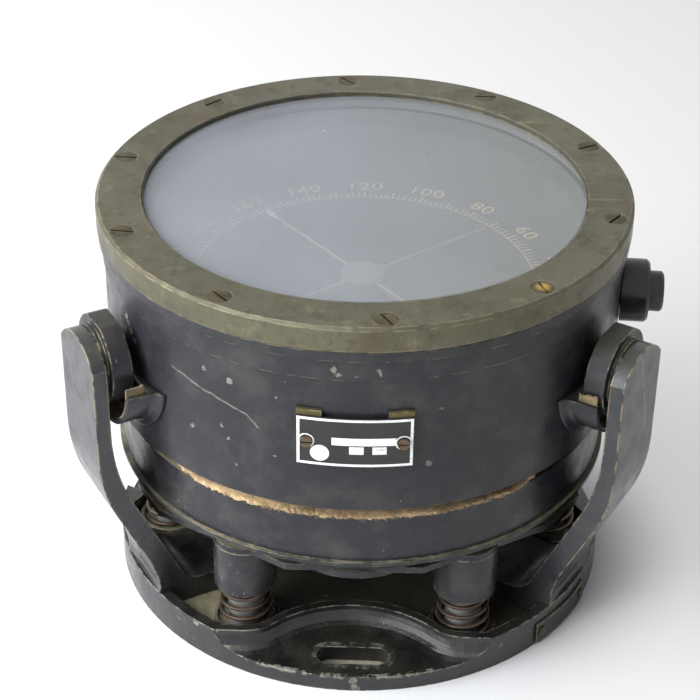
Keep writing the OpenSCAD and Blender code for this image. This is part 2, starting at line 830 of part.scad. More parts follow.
module felt_ring() {
    color([0.72, 0.58, 0.38]) difference() {
        translate([0, 0, case_top]) cylinder(r = felt_r, h = felt_t);
        translate([0, 0, case_top - 1]) cylinder(r = case_flange_in, h = felt_t + 2);
        at_case_screws() translate([0, 0, case_top - 1])
            cylinder(r = screw_r - 0.5 + fit, h = felt_t + 2);
    }
}

module case_screws() {
    color([0.45, 0.42, 0.35]) at_case_screws() translate([0, 0, case_top - case_flange_t]) mirror([0, 0, 1])
        screw_down(screw_r - 0.5, head_r - 1, case_flange_t + felt_t + 3.5);
}

// The liquid bowl, with its seat for the dial, the glass and the lamp
module bowl_shell() {
    seat_r = glass_r + 0.5;
    color([0.15, 0.15, 0.16]) difference() {
        rotate_extrude() polygon([
            [0, bowl_z], [bowl_r - 0.8, bowl_z], [bowl_r, bowl_z + 0.8],
            [bowl_r, bezel_z - flange_h - band_h], [bowl_r + 0.5, bezel_z - flange_h - band_h + 0.3],
            [bowl_r + 0.5, bezel_z - flange_h], [bezel_r - 0.4, bezel_z - flange_h + 0.4],
            [bezel_r - 0.4, bezel_z - 0.4], [bezel_r - 0.8, bezel_z], [seat_r, bezel_z],
            [seat_r, gasket_z], [bowl_top_r - 3, gasket_z], [bowl_top_r - 3, gasket_z - 3],
            [bowl_top_r, gasket_z - 6], [bowl_top_r, dial_z], [bowl_in_r, dial_z],
            [bowl_in_r, bowl_z + bowl_floor], [0, bowl_z + bowl_floor]]);
        for (k = [0:5]) at(60 * k) translate([vent_pitch, 0, bowl_z - 1])
            cylinder(r = vent_r, h = bowl_floor + 2);
        translate([0, 0, bowl_z + 1.5]) cylinder(r = pivot_r + fit, h = bowl_floor);
        at_case_screws() translate([0, 0, bowl_z - 1])
            cylinder(r = screw_r - 0.5 + fit, h = 5);
        at_clamp_screws() translate([0, 0, bowl_z - 1])
            cylinder(r = small_screw_r + fit, h = 4);
        for (k = [0:bezel_screw_n - 1]) at(bezel_screw_az + 360 / bezel_screw_n * k)
            translate([bezel_screw_pitch, 0, bezel_z - 9]) cylinder(r = screw_r + fit, h = 10);
        for (a = ARMS) for (side = [-1, 1]) at(a + cradle_turn) translate([0, side * cradle_screw_half, 0])
            bar(small_screw_r + fit, bowl_r - 5, bowl_r + 1, cradle_screw_z);
        for (side = [-1, 1]) at(-90) translate([0, side * name_screw_x, 0])
            bar(small_screw_r + fit, bowl_r - 6, bowl_r + 1, name_z);
        at(lamp_az) bar(lamp_bore_r, lamp_bore_in, bowl_r + 2, lamp_z);
        at(lamp_az) bar(window_r + fit, bowl_in_r - 4, lamp_bore_in + 1, lamp_z);
        at(plug_az) bar(plug_r + fit, bowl_in_r - 1, bowl_r + 1, bowl_z + plug_up);
        at(plug_az) bar(plug_head_r + fit, plug_seat, bowl_r + 1, bowl_z + plug_up);
    }
}

// Corrugated disc that lets the liquid expand
module diaphragm() {
    wave = [for (i = [0:12]) let (r = 26 * i / 12) [r, -1.2 - 0.9 * cos(360 * i / 4)]];
    back = [for (i = [12:-1:0]) wave[i] + [0, -diaphragm_t]];
    color([0.7, 0.6, 0.35]) translate([0, 0, bowl_z]) difference() {
        rotate_extrude() polygon(concat(wave, [[29, 0], [diaphragm_r, 0], [diaphragm_r, -diaphragm_t],
            [29, -diaphragm_t]], back));
        at_clamp_screws() translate([0, 0, -3])
            cylinder(r = small_screw_r + fit, h = 4);
    }
}

module diaphragm_ring() {
    color([0.6, 0.5, 0.3]) difference() {
        translate([0, 0, bowl_z - diaphragm_t - clamp_t]) cylinder(r = diaphragm_r, h = clamp_t);
        translate([0, 0, bowl_z - diaphragm_t - clamp_t - 1]) cylinder(r = clamp_in, h = clamp_t + 2);
        at_clamp_screws() translate([0, 0, bowl_z - diaphragm_t - clamp_t])
            mirror([0, 0, 1]) screw_hole(small_screw_r, small_head_r, clamp_t + 2);
    }
}

module diaphragm_screws() {
    color([0.45, 0.42, 0.35]) at_clamp_screws()
        translate([0, 0, bowl_z - diaphragm_t - clamp_t]) mirror([0, 0, 1])
        screw_down(small_screw_r, small_head_r, clamp_t + diaphragm_t + 2.6);
}

// Slotted plug that closes the filling hole, high on the hidden side
module filler_plug() {
    color([0.5, 0.45, 0.3]) at(plug_az) difference() {
        union() {
            bar(plug_r, bowl_top_r + 1, bowl_r, bowl_z + plug_up);
            bar(plug_head_r, plug_seat, bowl_r + 2, bowl_z + plug_up);
        }
        translate([bowl_r + 1, -plug_head_r - 1, bowl_z + plug_up - 0.6])
            cube([2, 2 * plug_head_r + 2, 1.2]);
    }
}

// A half-round cradle that lies under an arm's disc
module cradle(az) {
    at(az + cradle_turn) intersection() {
        difference() {
            union() {
                bar(cradle_out_r + flange_w, bowl_r - 6, flange_face, cradle_z);
                bar(cradle_out_r, bowl_r, flange_face + cradle_len, cradle_z);
            }
            bar(cradle_in_r, flange_face, flange_face + cradle_len + 1, cradle_z);
            translate([0, 0, bowl_z]) cylinder(r = bowl_r + fit, h = bowl_h, $fn = 360);
            at_cradle_screws() screw_hole(small_screw_r, small_head_r, 6);
        }
        below_cradle_edge(0);
    }
}

// All of a cradle's space below its upper edges, or this far above them
module below_cradle_edge(up) {
    reach = cradle_out_r + flange_w + 1;
    translate([bowl_r - reach, -reach, cradle_z - cradle_cut + up - 2 * reach]) cube(2 * reach);
}

module at_cradle_screws() {
    for (side = [-1, 1]) translate([flange_face, side * cradle_screw_half, cradle_screw_z])
        rotate([0, 90, 0]) children();
}

module cradle_left() {
    color([0.14, 0.14, 0.15]) cradle(ARM_LEFT);
}

module cradle_right() {
    color([0.14, 0.14, 0.15]) cradle(ARM_RIGHT);
}

module cradle_rear() {
    color([0.14, 0.14, 0.15]) cradle(ARM_REAR);
}

module cradle_felts() {
    color([0.6, 0.62, 0.38]) for (a = ARMS) at(a + cradle_turn) intersection() {
        difference() {
            bar(cradle_in_r - fit, flange_face + fit, flange_face + cradle_len - 0.4, cradle_z);
            bar(cradle_in_r - felt_pad_t, flange_face - 1, flange_face + cradle_len + 1, cradle_z);
        }
        below_cradle_edge(felt_pad_up);
    }
}

module cradle_screws() {
    color([0.45, 0.42, 0.35]) for (a = ARMS) at(a + cradle_turn) at_cradle_screws()
        screw_down(small_screw_r, small_head_r, 6.5);
}

module dial_ring() {
    color([0.08, 0.08, 0.09]) difference() {
        translate([0, 0, dial_z]) cylinder(r = bowl_top_r - fit, h = dial_t);
        translate([0, 0, dial_z - 1]) cylinder(r = dial_in_r, h = dial_t + 2);
    }
}

// The fixed mark that the dial is read against, at the front
module lubber_pointer() {
    color([0.85, 0.82, 0.6]) at(-90) translate([0, 0, dial_z + dial_t]) linear_extrude(0.6)
        polygon([[dial_in_r + 3, 0], [dial_in_r + 6, -1.2], [bowl_top_r - 1, -1.2],
            [bowl_top_r - 1, 1.2], [dial_in_r + 6, 1.2]]);
}

// The column that carries the needle on its hard point
module pivot_post() {
    foot_z = bowl_z + bowl_floor;
    color([0.7, 0.62, 0.4]) rotate_extrude() polygon([
        [0, bowl_z + 1.6], [pivot_r, bowl_z + 1.6], [pivot_r, foot_z], [post_base_r, foot_z],
        [post_base_r, foot_z + 2], [pivot_r + 1, foot_z + 4], [pivot_r, hub_z - 8],
        [pivot_tip_r, hub_z - 6], [pivot_tip_r, jewel_z - 0.9], [0.1, jewel_z - 0.02], [0, jewel_z - 0.02]]);
}

module glass_gasket() {
    color([0.1, 0.1, 0.1]) difference() {
        translate([0, 0, gasket_z]) cylinder(r = glass_r, h = gasket_t);
        translate([0, 0, gasket_z - 1]) cylinder(r = bowl_top_r - 3, h = gasket_t + 2);
    }
}

module glass() {
    color([0.65, 0.7, 0.72, 0.35]) translate([0, 0, glass_z]) rotate_extrude() polygon([
        [0, 0], [glass_r - 0.5, 0], [glass_r, 0.5], [glass_r, glass_t - 0.5],
        [glass_r - 0.5, glass_t], [0, glass_t]]);
}

// The ring that clamps the glass, with its screws' holes
module bezel() {
    color([0.4, 0.38, 0.28]) difference() {
        rotate_extrude() polygon([
            [glass_r + 0.3, bezel_z], [bezel_r - 0.3, bezel_z], [bezel_r, bezel_z + 0.3],
            [bezel_r, top_z - 1], [bezel_r - 1, top_z], [opening_r + 0.4, top_z], [opening_r, top_z - 0.4],
            [opening_r, glass_top], [glass_r + 0.3, glass_top]]);
        for (k = [0:bezel_screw_n - 1]) at(bezel_screw_az + 360 / bezel_screw_n * k)
            translate([bezel_screw_pitch, 0, top_z]) screw_hole(screw_r, head_r, bezel_h + 1);
    }
}

module bezel_screws() {
    turns = [25, 160, 65, 5, 120, 40, 95, 10, 150, 70, 30, 110];
    color([0.42, 0.38, 0.26]) for (k = [0:bezel_screw_n - 1]) at(bezel_screw_az + 360 / bezel_screw_n * k)
        translate([bezel_screw_pitch, 0, top_z]) rotate([0, 0, turns[k]])
        screw_down(screw_r, head_r, bezel_h + 7);
}

// A thin plate bent to the bowl, between its two screws
module nameplate() {
    color([0.05, 0.05, 0.05]) intersection() {
        translate([0, 0, name_z - name_h / 2]) difference() {
            cylinder(r = bowl_r + block_t + name_t, h = name_h);
            translate([0, 0, -1]) cylinder(r = bowl_r + block_t, h = name_h + 2);
        }
        difference() {
            translate([-name_w / 2, -bowl_r - 10, name_z - name_h / 2]) cube([name_w, 30, name_h]);
            for (side = [-1, 1]) at(-90) translate([0, side * name_screw_x, 0])
                bar(small_screw_r + fit, bowl_r - 6, bowl_r + 5, name_z);
        }
    }
}

// Two strips soldered to the bowl, which carry the nameplate
module nameplate_blocks() {
    inner = name_w / 2 - block_w;
    color([0.42, 0.38, 0.2]) for (side = [-1, 1]) intersection() {
        translate([0, 0, name_z - name_h / 2 + 1]) difference() {
            cylinder(r = bowl_r + block_t, h = name_h - 1 + block_h / 2);
            translate([0, 0, -1]) cylinder(r = bowl_r, h = name_h + block_h + 2);
        }
        difference() {
            translate([side > 0 ? inner : -inner - block_w, -bowl_r - 10, 0]) cube([block_w, 40, top_z]);
            for (s = [-1, 1]) at(-90) translate([0, s * name_screw_x, 0])
                bar(small_screw_r + fit, bowl_r - 6, bowl_r + 5, name_z);
        }
    }
}

module nameplate_screws() {
    face = sqrt((bowl_r + block_t + name_t) ^ 2 - (name_screw_x - small_head_r) ^ 2) + 0.02;
    color([0.4, 0.32, 0.22]) at(-90) for (x = name_screw_xs) translate([0, x, 0]) difference() {
        union() {
            bar(small_screw_r, face - 6, face + 0.1, name_z);
            bar(small_head_r, face, face + 1, name_z);
        }
        translate([face + 0.6, -3, name_z - 0.25]) cube([2, 6, 0.5]);
    }
}

module lamp_window() {
    color([0.85, 0.9, 0.9, 0.4]) at(lamp_az) bar(window_r, bowl_top_r, lamp_bore_in, lamp_z);
}

// Moulded holder that pulls out of the bowl's wall with its bulb
module lamp_holder() {
    end = lamp_body_end + lamp_stub_len;
    nose = lamp_bore_in + 1;
    color([0.04, 0.04, 0.045]) at(lamp_az) difference() {
        union() {
            difference() {
                union() {
                    bar(lamp_r, bowl_r - 3, lamp_body_end - 1, lamp_z);
                    translate([lamp_body_end - 1, 0, lamp_z]) rotate([0, 90, 0])
                        cylinder(r1 = lamp_r, r2 = lamp_r - 0.8, h = 1);
                }
                rotate([0, 0, -lamp_az]) translate([0, 0, lamp_z - 20]) cylinder(r = bowl_r + 0.3, h = 40);
            }
            bar(lamp_bore_r - 0.3, nose, bowl_r + 2, lamp_z);
            bar(lamp_stub_r, lamp_body_end - 0.5, end - 0.8, lamp_z);
            translate([end - 0.8, 0, lamp_z]) rotate([0, 90, 0])
                cylinder(r1 = lamp_stub_r, r2 = lamp_stub_r - 0.8, h = 0.8);
        }
        bar(lead_r, end - lead_depth, end + 1, lamp_z);
        bar(bulb_base_r + fit, nose - 1, nose + 7, lamp_z);
    }
}

module lamp_bulb() {
    nose = lamp_bore_in + 1;
    color([0.9, 0.85, 0.7]) at(lamp_az) {
        bar(bulb_base_r, nose + 1.5, nose + 6.9, lamp_z);
        bar(bulb_r, nose + 0.3, nose + 1.6, lamp_z);
    }
}

module needle_hub() {
    color([0.3, 0.28, 0.22]) difference() {
        rotate_extrude() polygon([
            [pivot_r + 1.2, hub_z], [hub_r - 1.5, hub_z], [hub_r, hub_z + 1.5], [hub_r, hub_top - 0.6],
            [hub_r - 0.6, hub_top], [0, hub_top], [0, jewel_z + jewel_t], [jewel_r + fit, jewel_z + jewel_t],
            [jewel_r + fit, jewel_z], [pivot_r + 1.2, jewel_z - 2]]);
        for (k = [0:3]) at(needle_az + 90 * k) bar(needle_wire_r + 0.05, hub_r - 2, hub_r + 1, needle_z);
        at(needle_az) for (side = [-1, 1]) translate([0, side * magnet_x, 0])
            bar(magnet_r + 0.05, -hub_r - 1, hub_r + 1, hub_z);
    }
}

// Four thin arms in a cross, the north arm with a spade tip
module needle_arms() {
    color([0.75, 0.75, 0.7]) for (k = [0:3]) at(needle_az + 90 * k)
        bar(needle_wire_r, hub_r - 1.9, k == 0 ? needle_len - 5 : cross_len, needle_z);
    color([0.9, 0.9, 0.85]) at(needle_az) translate([0, 0, needle_z - 0.4]) linear_extrude(0.8)
        polygon([[needle_len - 6, -0.6], [needle_len - 4, -1.4], [needle_len, 0],
            [needle_len - 4, 1.4], [needle_len - 6, 0.6]]);
}

module needle_magnets() {
    color([0.35, 0.36, 0.38]) at(needle_az) for (side = [-1, 1]) translate([0, side * magnet_x, 0])
        bar(magnet_r, -16, 16, hub_z);
}

module jewel_cup() {
    color([0.6, 0.1, 0.15]) translate([0, 0, jewel_z]) difference() {
        cylinder(r = jewel_r, h = jewel_t);
        translate([0, 0, -0.01]) cylinder(r = pivot_tip_r + 0.3, h = 0.3);
    }
}

base_casting();
rim_strip();
strip_screws();
arm_left();
arm_right();
arm_rear();
arm_screws();
disc_left();
disc_right();
disc_rear();
disc_screws();
spring_spigots();
spigot_screws();
spring_1();
spring_2();
spring_3();
spring_4();
spring_5();
spring_6();
sleeve_1();
sleeve_2();
sleeve_3();
sleeve_4();
sleeve_5();
sleeve_6();
sleeve_screws();
carrier_plate();
cushion_ring();
case_bolts();
lower_case();
felt_ring();
case_screws();
bowl_shell();
diaphragm();
diaphragm_ring();
diaphragm_screws();
filler_plug();
cradle_left();
cradle_right();
cradle_rear();
cradle_felts();
cradle_screws();
dial_ring();
lubber_pointer();
pivot_post();
glass_gasket();
glass();
bezel();
bezel_screws();
nameplate();
nameplate_blocks();
nameplate_screws();
lamp_window();
lamp_holder();
lamp_bulb();
needle_hub();
needle_arms();
needle_magnets();
jewel_cup();
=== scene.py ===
"""Aircraft compass: finishes, fine pieces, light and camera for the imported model."""
import json
import math
import random

import bpy
from mathutils import Matrix, Vector, noise


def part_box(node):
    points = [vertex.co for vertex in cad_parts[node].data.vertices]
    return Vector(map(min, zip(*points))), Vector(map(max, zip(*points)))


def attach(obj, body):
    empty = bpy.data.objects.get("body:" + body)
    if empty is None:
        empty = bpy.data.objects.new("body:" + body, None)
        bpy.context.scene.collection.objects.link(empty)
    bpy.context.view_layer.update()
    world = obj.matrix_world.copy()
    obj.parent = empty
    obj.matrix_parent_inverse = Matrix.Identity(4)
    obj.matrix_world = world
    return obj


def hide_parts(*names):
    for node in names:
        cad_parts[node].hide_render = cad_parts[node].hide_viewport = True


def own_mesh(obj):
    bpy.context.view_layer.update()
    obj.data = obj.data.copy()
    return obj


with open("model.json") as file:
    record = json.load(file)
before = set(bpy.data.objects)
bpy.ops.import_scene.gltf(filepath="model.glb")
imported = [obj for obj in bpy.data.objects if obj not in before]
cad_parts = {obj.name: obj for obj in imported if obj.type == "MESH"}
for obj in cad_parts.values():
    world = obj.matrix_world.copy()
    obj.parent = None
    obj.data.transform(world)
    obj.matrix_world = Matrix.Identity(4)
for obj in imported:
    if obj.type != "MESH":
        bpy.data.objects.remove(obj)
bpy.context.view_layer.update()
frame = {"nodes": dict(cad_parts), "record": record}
NODES = frame["nodes"]
MM = 0.001

# The camera, found from the photograph's bezel, bowl and base; lengths in metres
LENS_MM = 100.45
SENSOR_MM = 36.0
CAMERA_AT = (0.0118, -0.5809, 0.4520)
CAMERA_DOWN = math.radians(32.6055)
CAMERA_TURN = math.radians(-1.5874)
CAMERA_ROLL = math.radians(-0.7242)

# Sizes in mm, and angles in degrees, that the frame's boxes don't give
POST_PITCH = 70
POCKET_AZ = [270, 30, 150]
POCKET_PITCH = 98.1
POCKET_CLEAR = 46
POCKET_FLOOR = 6.0
POST_ANGLES = [az + side * 32.4 for az in POCKET_AZ for side in (-1, 1)]
WIRE_R = 0.75
COIL_FOOT_R = 9.05
COIL_HEAD_R = 7.65
COIL_TURNS = 6.5
DIAL_ZERO_AZ = -28.8
NUMERAL_PITCH = 67.2
NUMERAL_SIZE = 7.7
NUMERAL_WIDER = 1.16
NEEDLE_AZ = 129.7
NEEDLE_TIP = 58
TICK_IN = 59.4
TICK_OUT = 62.0
SLOT_PITCH = 76.8
SLOT_HALF = 7.95
WASHER_RING = (4.42, 6.7)
FELT_IN = 67.1
FELT_AROUND = 2160
FELT_PAST = 1.2
FELT_DROOPS_FROM = 85.2
FIBRES = 5200
FIBRE_R = 0.05
# Where the felt shows: middle and half width of each stretch
FELT_SHOWS = [(270, 46), (52, 30), (150, 24)]
# The felt's edge: share of the height, distance in from the outer edge
FELT_EDGE = [(0, 1.2), (0.05, 0.5), (0.14, 0.15), (0.24, 0.25), (0.31, 0.6), (0.37, 1.8),
             (0.46, 3.6), (1, 4.2)]
OPENING_R = 74.4
CRADLE_TURN = 1.2
CRADLE_AZ = [210, 330, 90]
CRADLE_AXIS_Z = 103.5
CRADLE_FACE = 90.44
CRADLE_TIP = 97.7
CRADLE_BACK = 88.1
CRADLE_BORE = 18.1
CRADLE_WALL = 1.4
CRADLE_FLANGE = 2.9
CRADLE_CUT = 2.1
CRADLE_FELT_IN = 17.3
CRADLE_FELT_OUT = 18.0
CRADLE_NEAR = 90.8
CRADLE_FAR = 97.2

# How far printed marks stand off their ground, and soft pieces off their neighbours, in metres
PRINT_LIFT = 0.00004
SOFT_GAP = 0.00002

# Ramps for the base's dust in metres: the tray's floor, below the rim's top, and across; across,
# the dust thins from the left towards the middle and right, which is painted shade under the case
TRAY_FLOOR = (0.00602, 0.00612)
TRAY_RIM = (0.0092, 0.0078)
TRAY_DUST_AND_SHADE = (-0.030, -0.050, 0.12, 0.95)

# The room as it is seen: direction across and brightness, from the left to the right
ROOM_SIDES = (-0.8, 0.8, 0.95, 0.70)
ROOM_WHITE = (0.95, 0.97, 1.0)
# Name, place, size, watts, colour and whether it is mirrored
LAMPS = [
    ("window", (-1.45, -0.55, 0.80), (2.3, 1.5), 23, (0.96, 0.98, 1.0), True),
    ("window_fill", (-1.40, -0.54, 0.72), (1.3, 1.0), 29, (0.96, 0.98, 1.0), False),
    ("skylight", (-0.65, -0.60, 1.35), (1.0, 1.0), 8, (0.97, 0.985, 1.0), True)]
LAMP_TARGET = (0, 0, 0.06)

FLOOR_HALF = 60
FLOOR_GLOW = 0.45
# Distances from the middle, in metres: the base's foot, inside which the floor is painted dark as
# shade, its shadow, and where the floor fades
FOOT_SHADE_EDGE = (0.0870, 0.0855)
SHADOW_EDGE = (0.085, 0.125)
FADE_OUT = (0.8, 4.0)


def polar(radius, azimuth_deg, z):
    a = math.radians(azimuth_deg)
    return Vector((radius * math.cos(a), radius * math.sin(a), z))


class Graph:
    """A material's node tree, with short calls for the nodes that the finishes share."""

    def __init__(self, name):
        self.material = bpy.data.materials.new(name)
        self.material.use_nodes = True
        self.nodes = self.material.node_tree.nodes
        self.links = self.material.node_tree.links
        self.nodes.clear()
        self.out = self.nodes.new("ShaderNodeOutputMaterial")
        self.shader = self.nodes.new("ShaderNodeBsdfPrincipled")
        self.links.new(self.shader.outputs[0], self.out.inputs["Surface"])
        self.where = self.nodes.new("ShaderNodeTexCoord").outputs["Object"]
        self.normal = self.nodes.new("ShaderNodeNewGeometry").outputs["Normal"]

    def feed(self, socket, value):
        if isinstance(value, bpy.types.NodeSocket):
            self.links.new(value, socket)
        elif isinstance(value, (tuple, list)) and len(value) == 3 and socket.type == "RGBA":
            socket.default_value = (*value, 1)
        else:
            socket.default_value = value

    def put(self, **values):
        """Sets or links the shader's sockets: underscores stand for spaces."""
        for name, value in values.items():
            self.feed(self.shader.inputs[name.replace("_", " ")], value)

    def math(self, kind, a, b=0.0):
        node = self.nodes.new("ShaderNodeMath")
        node.operation = kind
        self.feed(node.inputs[0], a)
        self.feed(node.inputs[1], b)
        return node.outputs[0]

    def ramp(self, value, low, high, start=0.0, end=1.0):
        """A smooth step from start to end as the value goes from low to high."""
        node = self.nodes.new("ShaderNodeMapRange")
        node.interpolation_type = "SMOOTHSTEP"
        self.feed(node.inputs["Value"], value)
        limits = {"From Min": low, "From Max": high, "To Min": start, "To Max": end}
        for name, number in limits.items():
            node.inputs[name].default_value = number
        return node.outputs["Result"]

    def noise(self, scale, detail=3.0, stretch=(1, 1, 1), shift=0.0, rough=0.5):
        """Noise with about this many cells to the metre, stretched along the axes."""
        mapping = self.nodes.new("ShaderNodeMapping")
        self.links.new(self.where, mapping.inputs["Vector"])
        mapping.inputs["Scale"].default_value = stretch
        mapping.inputs["Location"].default_value = (shift, shift * 0.7, shift * 1.3)
        node = self.nodes.new("ShaderNodeTexNoise")
        self.links.new(mapping.outputs["Vector"], node.inputs["Vector"])
        node.inputs["Scale"].default_value = scale
        node.inputs["Detail"].default_value = detail
        node.inputs["Roughness"].default_value = rough
        return node.outputs["Fac"]

    def mix(self, share, a, b):
        """From colour a to colour b."""
        node = self.nodes.new("ShaderNodeMix")
        node.data_type = "RGBA"
        self.feed(node.inputs["Factor"], share)
        self.feed(node.inputs[6], a)
        self.feed(node.inputs[7], b)
        return node.outputs[2]

    def rounded(self, radius_mm):
        """The normal, with edges rounded off by this radius."""
        bevel = self.nodes.new("ShaderNodeBevel")
        bevel.samples = 6
        bevel.inputs["Radius"].default_value = radius_mm * MM
        return bevel.outputs[0]

    def edges(self, radius_mm):
        """High on sharp edges, 0 on flat faces."""
        same = self.vector("DOT_PRODUCT", self.rounded(radius_mm), self.normal)
        return self.math("SUBTRACT", 1.0, same)

    def part(self, vector, axis):
        """The vector's X, Y or Z."""
        split = self.nodes.new("ShaderNodeSeparateXYZ")
        self.links.new(vector, split.inputs[0])
        return split.outputs[axis]

    def facing_up(self):
        return self.part(self.normal, "Z")

    def across(self):
        return self.part(self.where, "X")

    def height(self):
        return self.part(self.where, "Z")

    def distance_to(self, point):
        return self.vector("DISTANCE", self.where, point)

    def warped(self, amount_mm, scale):
        """Object coordinates shaken by noise, which gives a mark a ragged edge."""
        node = self.nodes.new("ShaderNodeTexNoise")
        self.links.new(self.where, node.inputs["Vector"])
        node.inputs["Scale"].default_value = scale
        node.inputs["Detail"].default_value = 4
        shift = self.vector("SUBTRACT", node.outputs["Color"], (0.5, 0.5, 0.5))
        shift = self.vector("MULTIPLY", shift, (amount_mm * MM * 2,) * 3)
        return self.vector("ADD", self.where, shift)

    def vector(self, kind, a, b=(0, 0, 0)):
        node = self.nodes.new("ShaderNodeVectorMath")
        node.operation = kind
        for socket, value in ((node.inputs[0], a), (node.inputs[1], b)):
            self.feed(socket, value)
        one_number = kind in ("DOT_PRODUCT", "LENGTH", "DISTANCE")
        return node.outputs["Value" if one_number else "Vector"]

    def flecks(self, spots):
        """High inside ragged spots on the outside: azimuth, height, radius and size in mm."""
        where = self.warped(1.6, 420)
        mask = 0.0
        for azimuth, z, radius, size in spots:
            gap = self.vector("DISTANCE", where, tuple(polar(radius * MM, azimuth, z * MM)))
            mask = self.math("MAXIMUM", self.ramp(gap, size * MM * 1.15, size * MM * 0.75), mask)
        return mask

    def scratch(self, line, width_mm):
        """High along a line of points given as azimuth, height and radius."""
        where = self.warped(0.7, 260)
        mask = 0.0
        points = [polar(radius * MM, azimuth, z * MM) for azimuth, z, radius in line]
        for a, b in zip(points, points[1:]):
            run = b - a
            start = self.vector("SUBTRACT", where, tuple(a))
            share = self.vector("DOT_PRODUCT", start, tuple(run / run.length_squared))
            share = self.math("MINIMUM", self.math("MAXIMUM", share, 0.0), 1.0)
            along = self.vector("MULTIPLY", self.spread(share), tuple(run))
            gap = self.vector("LENGTH", self.vector("SUBTRACT", start, along))
            mask = self.math("MAXIMUM", self.ramp(gap, width_mm * MM, width_mm * MM * 0.4), mask)
        return mask

    def on_the_tray(self):
        """High on the base's floor between its rim and its pockets, where the dust lies; the dust
        thins towards the middle and right, which paints shade there under the case.
        """
        level = self.math("MULTIPLY", self.ramp(self.height(), *TRAY_FLOOR),
                          self.ramp(self.height(), *TRAY_RIM))
        mask = self.math("MULTIPLY", self.ramp(self.facing_up(), 0.6, 0.95), level)
        # painted shade: the pale dust thins towards the tray's middle and right, where the case
        # shades it
        mask = self.math("MULTIPLY", mask, self.ramp(self.across(), *TRAY_DUST_AND_SHADE))
        flat = self.vector("MULTIPLY", self.where, (1, 1, 0))
        for azimuth in POCKET_AZ:
            gap = self.vector("DISTANCE", flat, tuple(polar(POCKET_PITCH * MM, azimuth, 0)))
            clear = self.ramp(gap, POCKET_CLEAR * MM, (POCKET_CLEAR + 2) * MM)
            mask = self.math("MULTIPLY", mask, clear)
        return mask

    def seen(self):
        """1 for the rays that show the room: from the camera, mirrored or let through."""
        path = self.nodes.new("ShaderNodeLightPath")
        share = 0.0
        for ray in ("Is Camera Ray", "Is Glossy Ray", "Is Transmission Ray"):
            share = self.math("MAXIMUM", share, path.outputs[ray])
        return share

    def spread(self, value):
        """One number as all three parts of a vector."""
        node = self.nodes.new("ShaderNodeCombineXYZ")
        for socket in node.inputs:
            self.feed(socket, value)
        return node.outputs[0]

    def bump(self, height, depth_mm, strength=1.0, edge_mm=0.0):
        """Relief of this depth, over edges rounded off by edge_mm."""
        node = self.nodes.new("ShaderNodeBump")
        node.inputs["Strength"].default_value = strength
        node.inputs["Distance"].default_value = depth_mm * MM
        self.links.new(height, node.inputs["Height"])
        if edge_mm:
            self.links.new(self.rounded(edge_mm), node.inputs["Normal"])
        self.links.new(node.outputs[0], self.shader.inputs["Normal"])


class Room(Graph):
    """The world's node tree, with the same calls."""

    def __init__(self, name):
        self.world = bpy.data.worlds.new(name)
        self.world.use_nodes = True
        self.nodes = self.world.node_tree.nodes
        self.links = self.world.node_tree.links
        self.shader = self.nodes["Background"]
        self.where = self.nodes.new("ShaderNodeTexCoord").outputs["Generated"]


PAINT_DARK = (0.0115, 0.0122, 0.0152)
PAINT_PALE = (0.0260, 0.0272, 0.0318)
DUST_FILM = (0.100, 0.094, 0.082)
DUST_DARK = (0.15, 0.130, 0.070)
DUST_PALE = (0.50, 0.46, 0.31)
CHIP_DARK = (0.10, 0.10, 0.08)
CHIP_PALE = (0.38, 0.37, 0.30)
RUST = (0.115, 0.070, 0.035)


